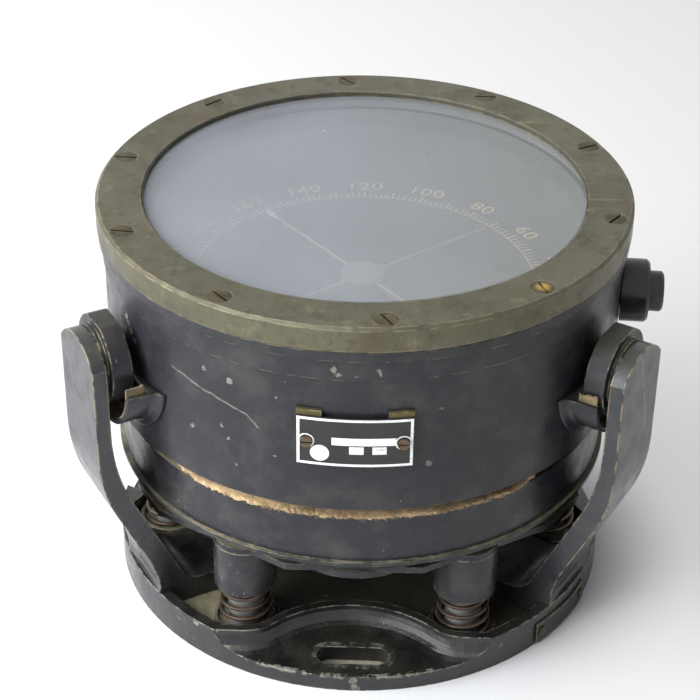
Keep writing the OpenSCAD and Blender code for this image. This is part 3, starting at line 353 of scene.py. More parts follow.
def black_paint(name, dust=0.5, cast=0.0, wear=0.5, chips=0.5, bare=(0.27, 0.24, 0.15),
                gloss=0.34, shine=0.38, deep=1.0, edge_mm=0.55, tray=False, flecks=(),
                scratch=(), worn_line=()):
    """Old satin paint: dust on what faces up, metal at the edges, chips and fine scratches."""
    g = Graph(name)
    colour = g.mix(g.noise(22, 4, shift=3), tuple(c * deep for c in PAINT_DARK),
                   tuple(c * deep for c in PAINT_PALE))
    film = g.ramp(g.noise(75, 6, rough=0.65, shift=9), 0.42, 0.72)
    colour = g.mix(g.math("MULTIPLY", film, 0.15 + 0.3 * dust), colour, DUST_FILM)
    lying_dust_and_shade = g.math("MULTIPLY", g.ramp(g.facing_up(), 0.45, 0.95),
                   g.ramp(g.noise(48, 7, rough=0.7), 0.30, 0.62, 0, dust))
    # on the tray, real dust, thinned towards the middle and right as painted shade
    if tray:
        settled = g.ramp(g.noise(95, 7, rough=0.75, shift=5), 0.26, 0.52, 0.55, 1.0)
        lying_dust_and_shade = g.math("MAXIMUM", lying_dust_and_shade, g.math("MULTIPLY", settled, g.on_the_tray()))
    colour = g.mix(lying_dust_and_shade, colour, g.mix(g.noise(300, 5), DUST_DARK, DUST_PALE))
    streak = g.ramp(g.noise(330, 2, stretch=(1, 1, 0.035), shift=5), 0.735, 0.775)
    fade = g.ramp(g.noise(30, 2, shift=14), 0.50, 0.66, 0.0, 0.35)
    colour = g.mix(g.math("MULTIPLY", streak, fade), colour, (0.16, 0.155, 0.14))
    fleck = g.ramp(g.noise(420, 3, shift=21), 0.735 - 0.03 * chips, 0.76 - 0.03 * chips)
    fleck = g.math("MULTIPLY", g.math("MULTIPLY", fleck, 0.75),
                   g.ramp(g.noise(26, 2, shift=31), 0.46, 0.60))
    if flecks:
        broken = g.ramp(g.noise(800, 4, rough=0.7, shift=13), 0.40, 0.52, 0.2, 0.75)
        fleck = g.math("MAXIMUM", fleck, g.math("MULTIPLY", g.flecks(flecks), broken))
    if scratch:
        fleck = g.math("MAXIMUM", fleck, g.math("MULTIPLY", g.scratch(scratch, 0.48), 0.5))
    if worn_line:
        broken = g.ramp(g.noise(210, 4, rough=0.7, shift=11), 0.47, 0.56, 0.0, 0.8)
        line = g.math("MULTIPLY", g.scratch(worn_line, 1.5), broken)
        fleck = g.math("MAXIMUM", fleck, line)
    colour = g.mix(fleck, colour, g.mix(g.noise(520, 4, shift=4), CHIP_DARK, CHIP_PALE))
    patchy = g.noise(260, 5, shift=2, rough=0.65)
    rubbed = g.math("MULTIPLY", g.ramp(g.edges(edge_mm), 0.012, 0.08),
                    g.ramp(patchy, 0.60 - 0.2 * wear, 0.70 - 0.2 * wear))
    colour = g.mix(rubbed, colour, bare)
    metal = g.math("MULTIPLY", rubbed, 0.6)
    g.put(Base_Color=colour, Metallic=metal, Specular_IOR_Level=shine)
    worn = g.ramp(g.noise(120, 5, shift=7), 0.3, 0.7, gloss - 0.09, gloss + 0.09)
    g.put(Roughness=g.mix(lying_dust_and_shade, g.spread(worn), (0.9, 0.9, 0.9)))
    grain = g.noise(1500, 3)
    if cast:
        lumps = g.math("MULTIPLY", g.noise(260, 4), 1.3)
        grain = g.math("ADD", g.math("MULTIPLY", grain, 0.45), lumps)
    chipped = g.math("MULTIPLY", g.math("ADD", rubbed, fleck), -0.4)
    g.bump(g.math("ADD", grain, chipped), 0.10 + 0.16 * cast, 0.8, edge_mm=0.45)
    return g.material


def bronze(name, low, high, bright, rough=0.46, wear=0.5, grime=0.5, metal=0.55):
    """Patinated metal, brighter on its edges and darker in its hollows."""
    g = Graph(name)
    colour = g.mix(g.ramp(g.noise(30, 5, rough=0.55, shift=4), 0.25, 0.75), low, high)
    colour = g.mix(g.ramp(g.noise(420, 6, rough=0.7, shift=6), 0.35, 0.75, 0.0, 0.35), colour, high)
    brown = g.ramp(g.noise(70, 6, rough=0.68, shift=41), 0.50, 0.66)
    colour = g.mix(g.math("MULTIPLY", brown, 0.75 * grime), colour, RUST)
    stain = g.math("MULTIPLY", g.ramp(g.noise(150, 7, rough=0.75, shift=17), 0.50, 0.68), grime)
    colour = g.mix(stain, colour, (0.034, 0.037, 0.026))
    pale = g.ramp(g.noise(110, 5, rough=0.7, shift=23), 0.56, 0.70, 0.0, 0.45)
    colour = g.mix(pale, colour, tuple((a + b) / 2 for a, b in zip(high, bright)))
    lines = g.ramp(g.noise(300, 2, stretch=(0.05, 1, 1), shift=8), 0.70, 0.78, 0.0, 0.3)
    colour = g.mix(lines, colour, bright)
    patchy = g.noise(180, 5, shift=2)
    rubbed = g.math("MULTIPLY", g.ramp(g.edges(0.8), 0.010, 0.07),
                    g.ramp(patchy, 0.56 - 0.2 * wear, 0.70 - 0.2 * wear, 0.0, 0.8))
    colour = g.mix(rubbed, colour, bright)
    g.put(Base_Color=colour, Metallic=metal)
    g.put(Roughness=g.ramp(g.noise(85, 4, shift=12), 0.3, 0.7, rough - 0.09, rough + 0.14))
    g.bump(g.math("ADD", g.noise(900, 4), g.math("MULTIPLY", stain, 0.5)), 0.07, 0.7, edge_mm=0.35)
    return g.material


def steel(name, low, high, rough=0.32, rust=0.3, metal=0.95):
    """Turned steel with a little brown in it."""
    g = Graph(name)
    colour = g.mix(g.noise(300, 3, stretch=(0.2, 0.2, 3)), low, high)
    spots = g.math("MULTIPLY", g.ramp(g.noise(190, 6, rough=0.7, shift=6), 0.48, 0.66), rust)
    colour = g.mix(spots, colour, (0.11, 0.065, 0.035))
    g.put(Base_Color=colour, Metallic=metal)
    g.put(Roughness=g.ramp(g.noise(150, 4, shift=3), 0.3, 0.7, rough - 0.08, rough + 0.16))
    g.bump(g.noise(700, 2, stretch=(0.3, 0.3, 4)), 0.03, 0.5)
    return g.material


def felt(name, low, high, dirt):
    """Pressed felt: a soft mottled fibre with dirt worked into it."""
    g = Graph(name)
    fibre = g.noise(1400, 5, rough=0.7)
    colour = g.mix(fibre, low, high)
    soil = g.ramp(g.noise(85, 6, rough=0.7, shift=2), 0.40, 0.68)
    colour = g.mix(g.math("MULTIPLY", soil, 0.72), colour, dirt)
    g.put(Base_Color=colour, Roughness=0.95, Sheen_Weight=0.25)
    g.bump(g.math("ADD", fibre, g.noise(420, 4, shift=7)), 0.5, 0.9)
    return g.material


def plain(name, low, high, rough, relief_mm=0.04):
    """A moulded or painted surface with slight mottling and fine relief."""
    g = Graph(name)
    g.put(Base_Color=g.mix(g.noise(60, 5, rough=0.6), low, high))
    smooth = max(0.05, rough - 0.08)
    g.put(Roughness=g.ramp(g.noise(110, 4, shift=5), 0.3, 0.7, smooth, min(1, rough + 0.12)))
    g.bump(g.noise(600, 3), relief_mm, 0.7, edge_mm=0.3)
    return g.material


def worn_print(name, colour, ground):
    """Faded marking paint that has rubbed through to its ground in places."""
    g = Graph(name)
    gone = g.ramp(g.noise(520, 5, rough=0.7), 0.52, 0.70, 0.0, 0.75)
    g.put(Base_Color=g.mix(gone, colour, ground), Roughness=0.65)
    g.bump(g.noise(1500, 2), 0.02, 0.5)
    return g.material


def hazed_glass(name, tint, far, share):
    """Thick old glass over liquid: a pale haze, thicker on the left, and a strong reflection; the
    haze's colour is painted light, paler on the lit left and darker towards the right.
    """
    g = Graph(name)
    cloud = g.noise(20, 4, rough=0.5)
    # painted light: the haze is paler on the lit left and darker towards the right
    colour = g.mix(g.ramp(g.across(), -0.03, 0.065), tint, far)
    ribs = g.ramp(g.noise(400, 1, stretch=(1, 0.04, 1), shift=3), 0.35, 0.65, 0.0, 0.07)
    dull = g.math("ADD", ribs, g.ramp(cloud, 0.3, 0.7, 0.0, 0.12))
    colour = g.mix(dull, colour, tuple(c * 0.6 for c in tint))
    left = g.ramp(g.across(), -0.038, -0.066)
    g.put(Base_Color=g.mix(left, colour, tuple(c * 0.88 for c in tint)))
    spots = g.ramp(g.noise(230, 3, shift=4), 0.74, 0.79, 0.0, 0.3)
    haze = g.ramp(cloud, 0.3, 0.7, share - 0.03, share + 0.03)
    haze = g.math("ADD", haze, g.math("MULTIPLY", left, 0.07))
    g.put(Alpha=g.math("ADD", haze, spots))
    g.put(Roughness=0.06, IOR=1.6)
    return g.material


def bezel_screw_finish():
    """The bezel's screws: patinated, with one slot rubbed to bright brass."""
    g = Graph("bezel_screw_metal")
    colour = g.mix(g.noise(130, 5), (0.060, 0.052, 0.032), (0.15, 0.125, 0.070))
    stain = g.ramp(g.noise(300, 5, shift=3), 0.45, 0.65)
    colour = g.mix(g.math("MULTIPLY", stain, 0.6), colour, (0.035, 0.030, 0.020))
    spot = (0.0565, -0.0625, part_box("bezel_screws")[1].z)
    bright = g.math("MULTIPLY", g.ramp(g.distance_to(spot), 0.0035, 0.0005), 0.9)
    colour = g.mix(bright, colour, (0.60, 0.40, 0.10))
    rubbed = g.ramp(g.edges(0.3), 0.02, 0.12)
    colour = g.mix(g.math("MULTIPLY", rubbed, 0.5), colour, (0.26, 0.20, 0.09))
    g.put(Base_Color=colour, Metallic=0.7, Roughness=0.42)
    g.bump(g.noise(900, 3), 0.08, 0.7)
    return g.material


def needle_finish():
    """Tan lacquer on the needle's wires and cream on the paddle at the end of one."""
    g = Graph("needle_lacquer")
    tip = tuple(polar(NEEDLE_TIP * MM, NEEDLE_AZ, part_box("needle_arms")[1].z))
    cream = g.ramp(g.distance_to(tip), 0.009, 0.006)
    lacquer = g.mix(g.noise(150, 4), (0.30, 0.20, 0.08), (0.52, 0.38, 0.17))
    g.put(Base_Color=g.mix(cream, lacquer, (1.0, 0.96, 0.86)), Roughness=0.5)
    g.bump(g.noise(900, 2), 0.02, 0.4)
    return g.material


# Marks that the paint has, as azimuth, height, radius and size in mm
BOWL_FLECKS = [
    (237.3, 119.5, 88, 1.1), (243.6, 118.1, 88, 1.2), (241.4, 100.4, 88, 0.7),
    (253.8, 116.1, 88, 0.7), (233.4, 95.8, 88, 0.9), (265.9, 133.5, 88.5, 0.9),
    (265.7, 129.4, 88.5, 1.3), (266.6, 127.6, 88.5, 0.9), (274.5, 129.4, 88.5, 1.0),
    (274.8, 128.1, 88.5, 0.7), (270.0, 127.0, 88.5, 0.5), (287.4, 113.4, 88, 0.6),
    (285.5, 93.4, 88, 0.9), (253.5, 94.1, 88, 0.6), (242.7, 95.7, 88, 0.6),
    (210.6, 120.0, 88, 1.3), (211.6, 118.0, 88, 1.0), (212.8, 115.6, 88, 1.4),
    (214.3, 113.2, 88, 0.9), (61.0, 96.0, 88, 1.1), (118.0, 110.0, 88, 0.9),
    (8.0, 88.0, 88, 0.8), (160.0, 104.0, 88, 1.0)]
BASE_FLECKS = [
    (270.2, 4.4, 87.7, 1.5), (270.6, 2.6, 87.7, 1.2), (270.9, 1.0, 87.7, 1.3),
    (232.0, 11.5, 87.7, 1.1), (226.0, 9.0, 87.7, 0.8), (240.5, 12.4, 87.7, 1.2),
    (238.0, 12.6, 87.7, 0.8), (300.0, 12.3, 87.7, 1.1), (305.0, 8.0, 87.7, 0.8),
    (100.0, 9.0, 87.7, 1.1), (75.0, 4.0, 87.7, 1.2)]
# Lines of points, as azimuth, height and radius in mm
BOWL_SCRATCH = [
    (228.1, 114.4, 88), (231.4, 113.6, 88), (234.7, 112.0, 88), (239.8, 110.5, 88),
    (243.9, 108.9, 88), (247.4, 107.2, 88), (249.8, 103.7, 88)]
CRACKS = {"arm_right": [
    (327.6, 117, 105.6), (329.5, 113.8, 105.5), (331.0, 104.6, 105.5), (332.6, 95.2, 105.6),
    (333.6, 86.1, 105.7), (335.3, 78, 105.9)]}
BASE_LIP = [(azimuth, 6.1, 87.5) for azimuth in (246, 252, 258, 264, 270, 276, 282, 288)]

FINISHES = {
    "black_paint": black_paint("paint_black", dust=0.30, wear=0.45, chips=0.4),
    "dark_plate": plain("plate_black", (0.010, 0.010, 0.011), (0.030, 0.029, 0.027), 0.4),
    "dial_black": plain("dial_black", (0.020, 0.021, 0.024), (0.045, 0.045, 0.047), 0.7),
    "cream_paint": plain("cream_paint", (0.55, 0.47, 0.30), (0.72, 0.65, 0.46), 0.6),
    "steel_dull": steel("screw_steel", (0.12, 0.115, 0.10), (0.26, 0.25, 0.22), 0.42, 0.5),
    "bright_steel": steel("spigot_steel", (0.21, 0.207, 0.195), (0.40, 0.393, 0.37), 0.38, 0.35,
                          0.4),
    "magnet_steel": steel("magnet_steel", (0.10, 0.10, 0.11), (0.20, 0.20, 0.21), 0.45, 0.2),
    "spring_bronze": bronze("spring_wire", (0.055, 0.038, 0.028), (0.115, 0.076, 0.054),
                            (0.44, 0.31, 0.22), 0.30, metal=0.6),
    "brass_dull": bronze("brass_tarnished", (0.085, 0.070, 0.032), (0.18, 0.155, 0.070),
                         (0.36, 0.30, 0.14)),
    "phosphor_bronze": bronze("bronze_sheet", (0.25, 0.15, 0.07), (0.40, 0.26, 0.13),
                              (0.6, 0.4, 0.2)),
    "bezel_bronze": bronze("bezel_metal", (0.094, 0.087, 0.055), (0.152, 0.142, 0.094),
                           (0.36, 0.32, 0.20), 0.42, 0.7, 0.5),
    "rubber_black": plain("rubber_black", (0.010, 0.010, 0.010), (0.028, 0.027, 0.025), 0.75,
                          0.08),
    "felt_tan": felt("felt_tan", (0.46, 0.31, 0.15), (0.86, 0.62, 0.35), (0.20, 0.135, 0.070)),
    "felt_green": felt("felt_green", (0.16, 0.115, 0.055), (0.38, 0.29, 0.15),
                       (0.05, 0.036, 0.02)),
    # the glass's second colour is painted shade on its right side
    "clear_glass": hazed_glass("glass_hazed", (0.50, 0.525, 0.565), (0.40, 0.41, 0.395), 0.37),
    "lamp_glass": plain("lamp_glass", (0.70, 0.66, 0.55), (0.85, 0.82, 0.72), 0.15),
    "bakelite": plain("bakelite_black", (0.009, 0.009, 0.010), (0.022, 0.022, 0.024), 0.22,
                      0.03),
    "jewel_red": plain("jewel_red", (0.32, 0.02, 0.03), (0.48, 0.05, 0.06), 0.12, 0.01),
}
# Nodes whose finish isn't the one of their slot
SPECIAL = {
    "base_casting": black_paint("paint_base", dust=0.04, cast=0.8, wear=0.7, chips=0.8,
                                bare=(0.36, 0.34, 0.28), gloss=0.27, shine=0.72, deep=0.30,
                                edge_mm=0.8, tray=True, flecks=BASE_FLECKS,
                                worn_line=BASE_LIP),
    "bowl_shell": black_paint("paint_bowl", dust=0.40, wear=0.5, chips=0.3, flecks=BOWL_FLECKS,
                              scratch=BOWL_SCRATCH),
    "lower_case": black_paint("paint_case", dust=0.7, wear=0.55, chips=0.5, gloss=0.30),
    "carrier_plate": black_paint("paint_plate", dust=0.6, wear=0.6, chips=0.4),
    "bezel_screws": bezel_screw_finish(),
    "needle_arms": needle_finish(),
    "needle_hub": plain("hub_metal", (0.12, 0.15, 0.12), (0.20, 0.235, 0.19), 0.5),
    "diaphragm": plain("diaphragm_metal", (0.20, 0.21, 0.215), (0.30, 0.30, 0.29), 0.5),
    "nameplate_screws": steel("plate_screw", (0.10, 0.075, 0.05), (0.22, 0.17, 0.12), 0.4, 0.7),
    "strip_screws": steel("strip_screw", (0.06, 0.05, 0.035), (0.13, 0.11, 0.075), 0.45, 0.7),
    "rim_strip": black_paint("paint_strip", dust=0.4, wear=1.0, chips=0.6,
                             bare=(0.34, 0.29, 0.17)),
}
for sleeve in range(1, 7):
    SPECIAL["sleeve_%d" % sleeve] = black_paint(
        "paint_sleeve_%d" % sleeve, dust=0.8, wear=0.9, chips=1.6, bare=(0.42, 0.34, 0.22),
        gloss=0.30, edge_mm=0.9)
for arm in ("arm_left", "arm_right", "arm_rear"):
    SPECIAL[arm] = black_paint(
        "paint_" + arm, dust=0.10, cast=0.25, wear=0.85, chips=0.5, bare=(0.36, 0.29, 0.17),
        gloss=0.25, shine=0.7, edge_mm=1.1, scratch=CRACKS.get(arm, ()))
for side in ("left", "right", "rear"):
    for disc in ("disc_" + side, "cradle_" + side):
        SPECIAL[disc] = black_paint("paint_" + disc, dust=0.12, wear=0.8, chips=0.5,
                                    bare=(0.33, 0.28, 0.17), edge_mm=0.8)


def dress_nodes():
    """Gives each CAD node its finish."""
    for part in frame["record"]["subparts"]:
        node = NODES[part["node"]]
        finish = SPECIAL.get(part["node"], FINISHES[part["material_slot"]])
        node.data.materials.clear()
        node.data.materials.append(finish)


def new_piece(name, verts, faces, finish, smooth=True):
    mesh = bpy.data.meshes.new(name)
    mesh.from_pydata(verts, [], faces)
    mesh.update()
    mesh.materials.append(finish)
    if smooth:
        mesh.shade_smooth()
    piece = bpy.data.objects.new(name, mesh)
    bpy.context.scene.collection.objects.link(piece)
    return piece


def settle(piece, body, slot, *nodes):
    """The piece rides on a body and stands for these nodes; the slot is not used."""
    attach(piece, body)
    if nodes:
        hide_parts(*nodes)
    return piece


def add_mesh(verts, faces, more_verts, more_faces):
    """Adds the points and faces of one mesh to another's."""
    faces += [tuple(len(verts) + corner for corner in face) for face in more_faces]
    verts += more_verts


def tube(path, radius, sides=14):
    """A round tube along a path, closed at both ends."""
    verts = []
    faces = []
    count = len(path)
    side_way = Vector((0, 0, 1)).cross(path[1] - path[0])
    side_way = side_way.normalized() if side_way.length > 1e-9 else Vector((1, 0, 0))
    for i, point in enumerate(path):
        along = (path[min(i + 1, count - 1)] - path[max(i - 1, 0)]).normalized()
        side_way = (side_way - along * side_way.dot(along)).normalized()
        up_way = along.cross(side_way)
        for k in range(sides):
            a = 2 * math.pi * k / sides
            verts.append(point + radius * (math.cos(a) * side_way + math.sin(a) * up_way))
    for i in range(count - 1):
        for k in range(sides):
            a = i * sides + k
            b = i * sides + (k + 1) % sides
            faces.append((a, b, b + sides, a + sides))
    faces.append(tuple(reversed(range(sides))))
    faces.append(tuple(range((count - 1) * sides, count * sides)))
    return verts, faces


def spring_path(low, high, mouth):
    """A spring's centre line about the origin: conical up to the sleeve's mouth, straight above."""
    wire = 2 * WIRE_R * MM
    start = low + 1.5 * wire
    end = high - 1.5 * wire
    steps = round(32 * COIL_TURNS)
    path = []
    for i in range(steps + 1):
        z = start + (end - start) * i / steps
        share = min(1, (z - start) / (mouth - start))
        radius = (COIL_FOOT_R + (COIL_HEAD_R - COIL_FOOT_R) * share) * MM
        path.append(polar(radius, 360 / 32 * i, z))
    foot = Vector((path[0].x, path[0].y, low))
    head = Vector((path[-1].x, path[-1].y, high))
    return [foot, foot + Vector((0, 0, wire))] + path[1:-1] + [head - Vector((0, 0, wire)), head]


def make_springs():
    """Round wire in place of the solids' six-sided wire."""
    for i, azimuth in enumerate(POST_ANGLES):
        node = "spring_%d" % (i + 1)
        low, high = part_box(node)
        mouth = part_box("sleeve_%d" % (i + 1))[0].z
        place = (Matrix.Translation(polar(POST_PITCH * MM, azimuth, 0))
                 @ Matrix.Rotation(math.radians(azimuth), 4, "Z"))
        path = [place @ point for point in spring_path(low.z, high.z, mouth)]
        verts, faces = tube(path, WIRE_R * MM)
        piece = new_piece("wire_%d" % (i + 1), verts, faces, FINISHES["spring_bronze"])
        settle(piece, "base", "spring_bronze", node)
        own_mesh(piece)


def away_from(azimuth, middle):
    """Degrees between two directions."""
    return abs((azimuth - middle + 180) % 360 - 180)


def felt_wall(low, high):
    """The ring: its edge is squeezed out low down and worn away above."""
    verts = []
    faces = []
    outer = high.x
    for i in range(FELT_AROUND):
        azimuth = 360 * i / FELT_AROUND
        spot = polar(outer, azimuth, 0) * 55
        swell = 1 + 0.35 * noise.fractal(spot * 1.5, 0.8, 2.1, 4)
        reach = max((half - away_from(azimuth, middle)) / 9 for middle, half in FELT_SHOWS)
        crept_out = max(0.0, min(1.0, reach))
        for t, inset in FELT_EDGE:
            ragged = noise.fractal(spot * 7 + Vector((0, 0, t * 9)), 0.6, 2.1, 5) * 0.0010
            crept = noise.noise(polar(outer, azimuth, 3) * 38) * 0.0006
            drop = max(0.0, noise.fractal(spot * 6, 0.8, 2.2, 4)) * 0.0009
            drop = drop * max(0.0, 1 - 8 * t)
            radius = outer - (inset + 2.4 * (1 - crept_out)) * MM + (ragged + crept) * (1 - t)
            up = t if t in (0, 1) else min(0.95, t * swell)
            z = low.z + SOFT_GAP + up * (high.z - low.z - 2 * SOFT_GAP)
            if radius > FELT_DROOPS_FROM * MM:
                z -= drop
            verts.append(polar(min(radius, outer + FELT_PAST * MM), azimuth, z))
        verts.append(polar(FELT_IN * MM, azimuth, high.z - SOFT_GAP))
        verts.append(polar(FELT_IN * MM, azimuth, low.z + SOFT_GAP))
    step = len(FELT_EDGE) + 2
    for i in range(FELT_AROUND):
        j = (i + 1) % FELT_AROUND
        for k in range(step):
            n = (k + 1) % step
            faces.append((i * step + k, j * step + k, j * step + n, i * step + n))
    return verts, faces


def felt_fibres(low, high):
    """Loose fibres in clumps along the felt's edge where it shows."""
    verts = []
    faces = []
    draw = random.Random(7)
    for _ in range(FIBRES):
        azimuth = draw.uniform(0, 360)
        clump = noise.noise(polar(high.x, azimuth, 9) * 30)
        shown = any(away_from(azimuth, middle) < half - 5 for middle, half in FELT_SHOWS)
        if not shown or clump < draw.uniform(-0.5, 0.3):
            continue
        path = [polar(high.x - 0.0006, azimuth, low.z + draw.uniform(0.0002, 0.0020))]
        way = polar(1, azimuth + draw.uniform(-70, 70), draw.uniform(-0.5, 0.25)).normalized()
        for _ in range(3):
            way = (way + Vector([draw.uniform(-0.5, 0.5) for _ in range(3)])).normalized()
            path.append(path[-1] + way * draw.uniform(0.2, 0.6) * MM)
        add_mesh(verts, faces, *tube(path, FIBRE_R * MM, 3))
    return verts, faces


def make_felt_ring():
    """The pressed felt between case and bowl, whose ragged edge has crept out in places."""
    low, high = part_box("felt_ring")
    verts, faces = felt_wall(low, high)
    add_mesh(verts, faces, *felt_fibres(low, high))
    piece = new_piece("felt_seal", verts, faces, FINISHES["felt_tan"])
    settle(piece, "bowl", "felt_tan", "felt_ring")


def make_cradles():
    """The cradles with a thin flange that follows the bowl, and softened edges."""
    near = CRADLE_FACE
    far = CRADLE_TIP
    wall = CRADLE_BORE
    back = wall + CRADLE_WALL
    rim = back + CRADLE_FLANGE
    # Distance from the cradle's axis, distance out, and 1 where that starts at the bowl's wall
    profile = [
        (2.3, near, 0), (8, near, 0), (wall - 0.2, near, 0), (wall, near + 0.3, 0),
        (wall, far - 0.3, 0), (wall + 0.3, far, 0), (back - 0.3, far, 0), (back, far - 0.3, 0),
        (back, 3.4, 1), (back + 0.3, 2.3, 1), (back + 1.0, 1.7, 1), (rim - 0.5, 1.4, 1),
        (rim - 0.1, 1.15, 1), (rim, 0.8, 1), (rim, 0, 1), (back, 0, 1), (12, 0, 1), (6, 0, 1),
        (2.3, 0, 1)]
    steps = 72
    for name, azimuth in zip(("left", "right", "rear"), CRADLE_AZ):
        turn = Matrix.Rotation(math.radians(azimuth + CRADLE_TURN), 4, "Z")
        verts = []
        faces = []
        for i in range(steps + 1):
            for radius, out, from_wall in profile:
                angle = (i / steps * 2 - 1) * math.acos(CRADLE_CUT / radius)
                side = radius * math.sin(angle)
                if from_wall:
                    out += math.sqrt(CRADLE_BACK ** 2 - side * side)
                z = CRADLE_AXIS_Z - radius * math.cos(angle)
                verts.append(turn @ Vector((out * MM, side * MM, z * MM)))
        count = len(profile)
        for i in range(steps):
            for k in range(count):
                n = (k + 1) % count
                a = i * count
                b = a + count
                faces.append((a + k, a + n, b + n, b + k))
        faces.append(tuple(reversed(range(count))))
        faces.append(tuple(range(steps * count, (steps + 1) * count)))
        node = "cradle_" + name
        piece = new_piece(node + "_cast", verts, faces, SPECIAL[node])
        settle(piece, "bowl", "black_paint", node)


def make_cradle_felts():
    """The worn felt linings whose frayed edges show above the cradles' rims."""
    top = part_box("cradle_felts")[1].z - CRADLE_AXIS_Z * MM
    for index, azimuth in enumerate(CRADLE_AZ):
        verts = []
        faces = []
        around = 150
        rows = 12
        turn = Matrix.Rotation(math.radians(azimuth + CRADLE_TURN), 4, "Z")
        limit = math.pi / 2 + math.asin(top / (CRADLE_FELT_OUT * MM))
        for layer in (0, 1):
            for i in range(around + 1):
                share = i / around * 2 - 1
                for k in range(rows + 1):
                    along = CRADLE_NEAR + (CRADLE_FAR - CRADLE_NEAR) * k / rows
                    spot = Vector((along * 0.9, share * 24, index * 7.0))
                    fray = noise.fractal(spot * 0.8, 0.8, 2.1, 4) * 0.035
                    swing = (fray - 0.01) * (abs(share) ** 12) * (1 if share > 0 else -1)
                    angle = share * limit + swing
                    radius = (CRADLE_FELT_IN, CRADLE_FELT_OUT)[layer]
                    radius += 0.12 * noise.noise(spot * 1.3)
                    end = 0.25 * noise.noise(spot * 2.1) * (abs(k / rows * 2 - 1) ** 8)
                    point = Vector((along + end, radius * math.sin(angle), 0)) * MM
                    point.z = (CRADLE_AXIS_Z - radius * math.cos(angle)) * MM
                    verts.append(turn @ point)
        width = rows + 1
        sheet = (around + 1) * width
        for i in range(around):
            for k in range(rows):
                a = i * width + k
                faces.append((a, a + 1, a + width + 1, a + width))
                b = sheet + a
                faces.append((b, b + width, b + width + 1, b + 1))
        for i in range(around):
            for k in (0, rows):
                a = i * width + k
                side = (a, a + width, sheet + a + width, sheet + a)
                faces.append(side if k == 0 else tuple(reversed(side)))
        for k in range(rows):
            for i in (0, around):
                a = i * width + k
                side = (a + 1, a, sheet + a, sheet + a + 1)
                faces.append(side if i == 0 else tuple(reversed(side)))
        piece = new_piece("cradle_lining_%d" % (index + 1), verts, faces, FINISHES["felt_green"])
        settle(piece, "bowl", "felt_green", "cradle_felts")


def make_sealant():
    """The sealant in the bezel's mouth: a painted highlight in pale at the front left, and green at
    the front right.
    """
    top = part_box("bezel")[1].z - 0.00001
    radius = OPENING_R * MM
    steps = 240
    verts = []
    faces = []
    bead = ((0.35, 0.35), (0.1, 0.1), (0.02, 0))
    for i in range(steps):
        for inward, down in bead:
            verts.append(polar(radius - inward * MM, 360 * i / steps, top - down * MM))
    for i in range(steps):
        j = (i + 1) % steps
        for k in (0, 1):
            faces.append((3 * i + k, 3 * i + k + 1, 3 * j + k + 1, 3 * j + k))
    g = Graph("sealant")
    # painted highlight: the pale patch at the front left stands for light caught at the bezel's
    # mouth
    pale = g.ramp(g.distance_to(tuple(polar(radius, 247, top))), 0.046, 0.012)
    green = g.ramp(g.distance_to(tuple(polar(radius, 305, top))), 0.046, 0.012)
    green = g.math("MULTIPLY", green, g.ramp(g.noise(160, 5, rough=0.7), 0.35, 0.6))
    colour = g.mix(green, (0.035, 0.037, 0.032), (0.10, 0.30, 0.24))
    colour = g.mix(pale, colour, (0.72, 0.78, 0.80))
    g.put(Base_Color=colour, Roughness=0.3)
    g.bump(g.noise(900, 2), 0.02, 0.4)
    settle(new_piece("sealant_bead_and_highlight", verts, faces, g.material), "bowl", "clear_glass")


def flat_ring_sector(verts, faces, r0, r1, az0, az1, z):
    base = len(verts)
    verts += [polar(r0, az0, z), polar(r1, az0, z), polar(r1, az1, z), polar(r0, az1, z)]
    faces.append((base, base + 1, base + 2, base + 3))


def make_numeral(degree, top, paint):
    """One number that stands along the dial's edge, as a mesh."""
    curve = bpy.data.curves.new("numeral_%d" % degree, "FONT")
    curve.body = str(degree)
    curve.size = NUMERAL_SIZE * MM
    curve.space_character = 1.06
    curve.align_x = "CENTER"
    curve.align_y = "CENTER"
    curve.offset = 0.00006
    curve.materials.append(paint)
    drawn = bpy.data.objects.new("numeral_%d" % degree, curve)
    bpy.context.scene.collection.objects.link(drawn)
    azimuth = DIAL_ZERO_AZ + degree
    drawn.matrix_world = (Matrix.Translation(polar(NUMERAL_PITCH * MM, azimuth, top))
                          @ Matrix.Rotation(math.radians(azimuth - 90), 4, "Z")
                          @ Matrix.Diagonal((NUMERAL_WIDER, 1, 1, 1)))
    bpy.context.view_layer.update()
    mesh = bpy.data.meshes.new_from_object(drawn)
    flat = bpy.data.objects.new("dial_numeral_%d" % degree, mesh)
    flat.matrix_world = drawn.matrix_world
    bpy.context.scene.collection.objects.link(flat)
    bpy.data.objects.remove(drawn)
    settle(flat, "bowl", "cream_paint")


def make_dial_marks():
    """Ticks every two degrees and a numeral every twenty, counting up anticlockwise."""
    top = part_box("dial_ring")[1].z + PRINT_LIFT
    paint = worn_print("dial_print", (1.0, 0.74, 0.34), (0.34, 0.25, 0.12))
    verts = []
    faces = []
    for degree in range(0, 360, 2):
        azimuth = DIAL_ZERO_AZ + degree
        half = 0.20 if degree % 10 else 0.30
        out = (TICK_OUT + (1.2 if degree % 10 == 0 else 0)) * MM
        flat_ring_sector(verts, faces, TICK_IN * MM, out, azimuth - half, azimuth + half, top)
    line_in = (TICK_IN - 0.5) * MM
    line_out = (TICK_IN - 0.15) * MM
    for degree in range(360):
        flat_ring_sector(verts, faces, line_in, line_out, degree, degree + 1, top)
    piece = new_piece("dial_ticks", verts, faces, paint, smooth=False)
    settle(piece, "bowl", "cream_paint")
    for degree in range(0, 360, 20):
        make_numeral(degree, top, paint)


def curved_patch(verts, faces, x0, x1, z0, z1, radius, columns=12):
    """A strip bent round the bowl, facing -Y, with corners at these places."""
    base = len(verts)
    for i in range(columns + 1):
        x = x0 + (x1 - x0) * i / columns
        y = -math.sqrt(radius * radius - x * x)
        verts += [Vector((x, y, z0)), Vector((x, y, z1))]
    for i in range(columns):
        a = base + 2 * i
        faces.append((a, a + 2, a + 3, a + 1))


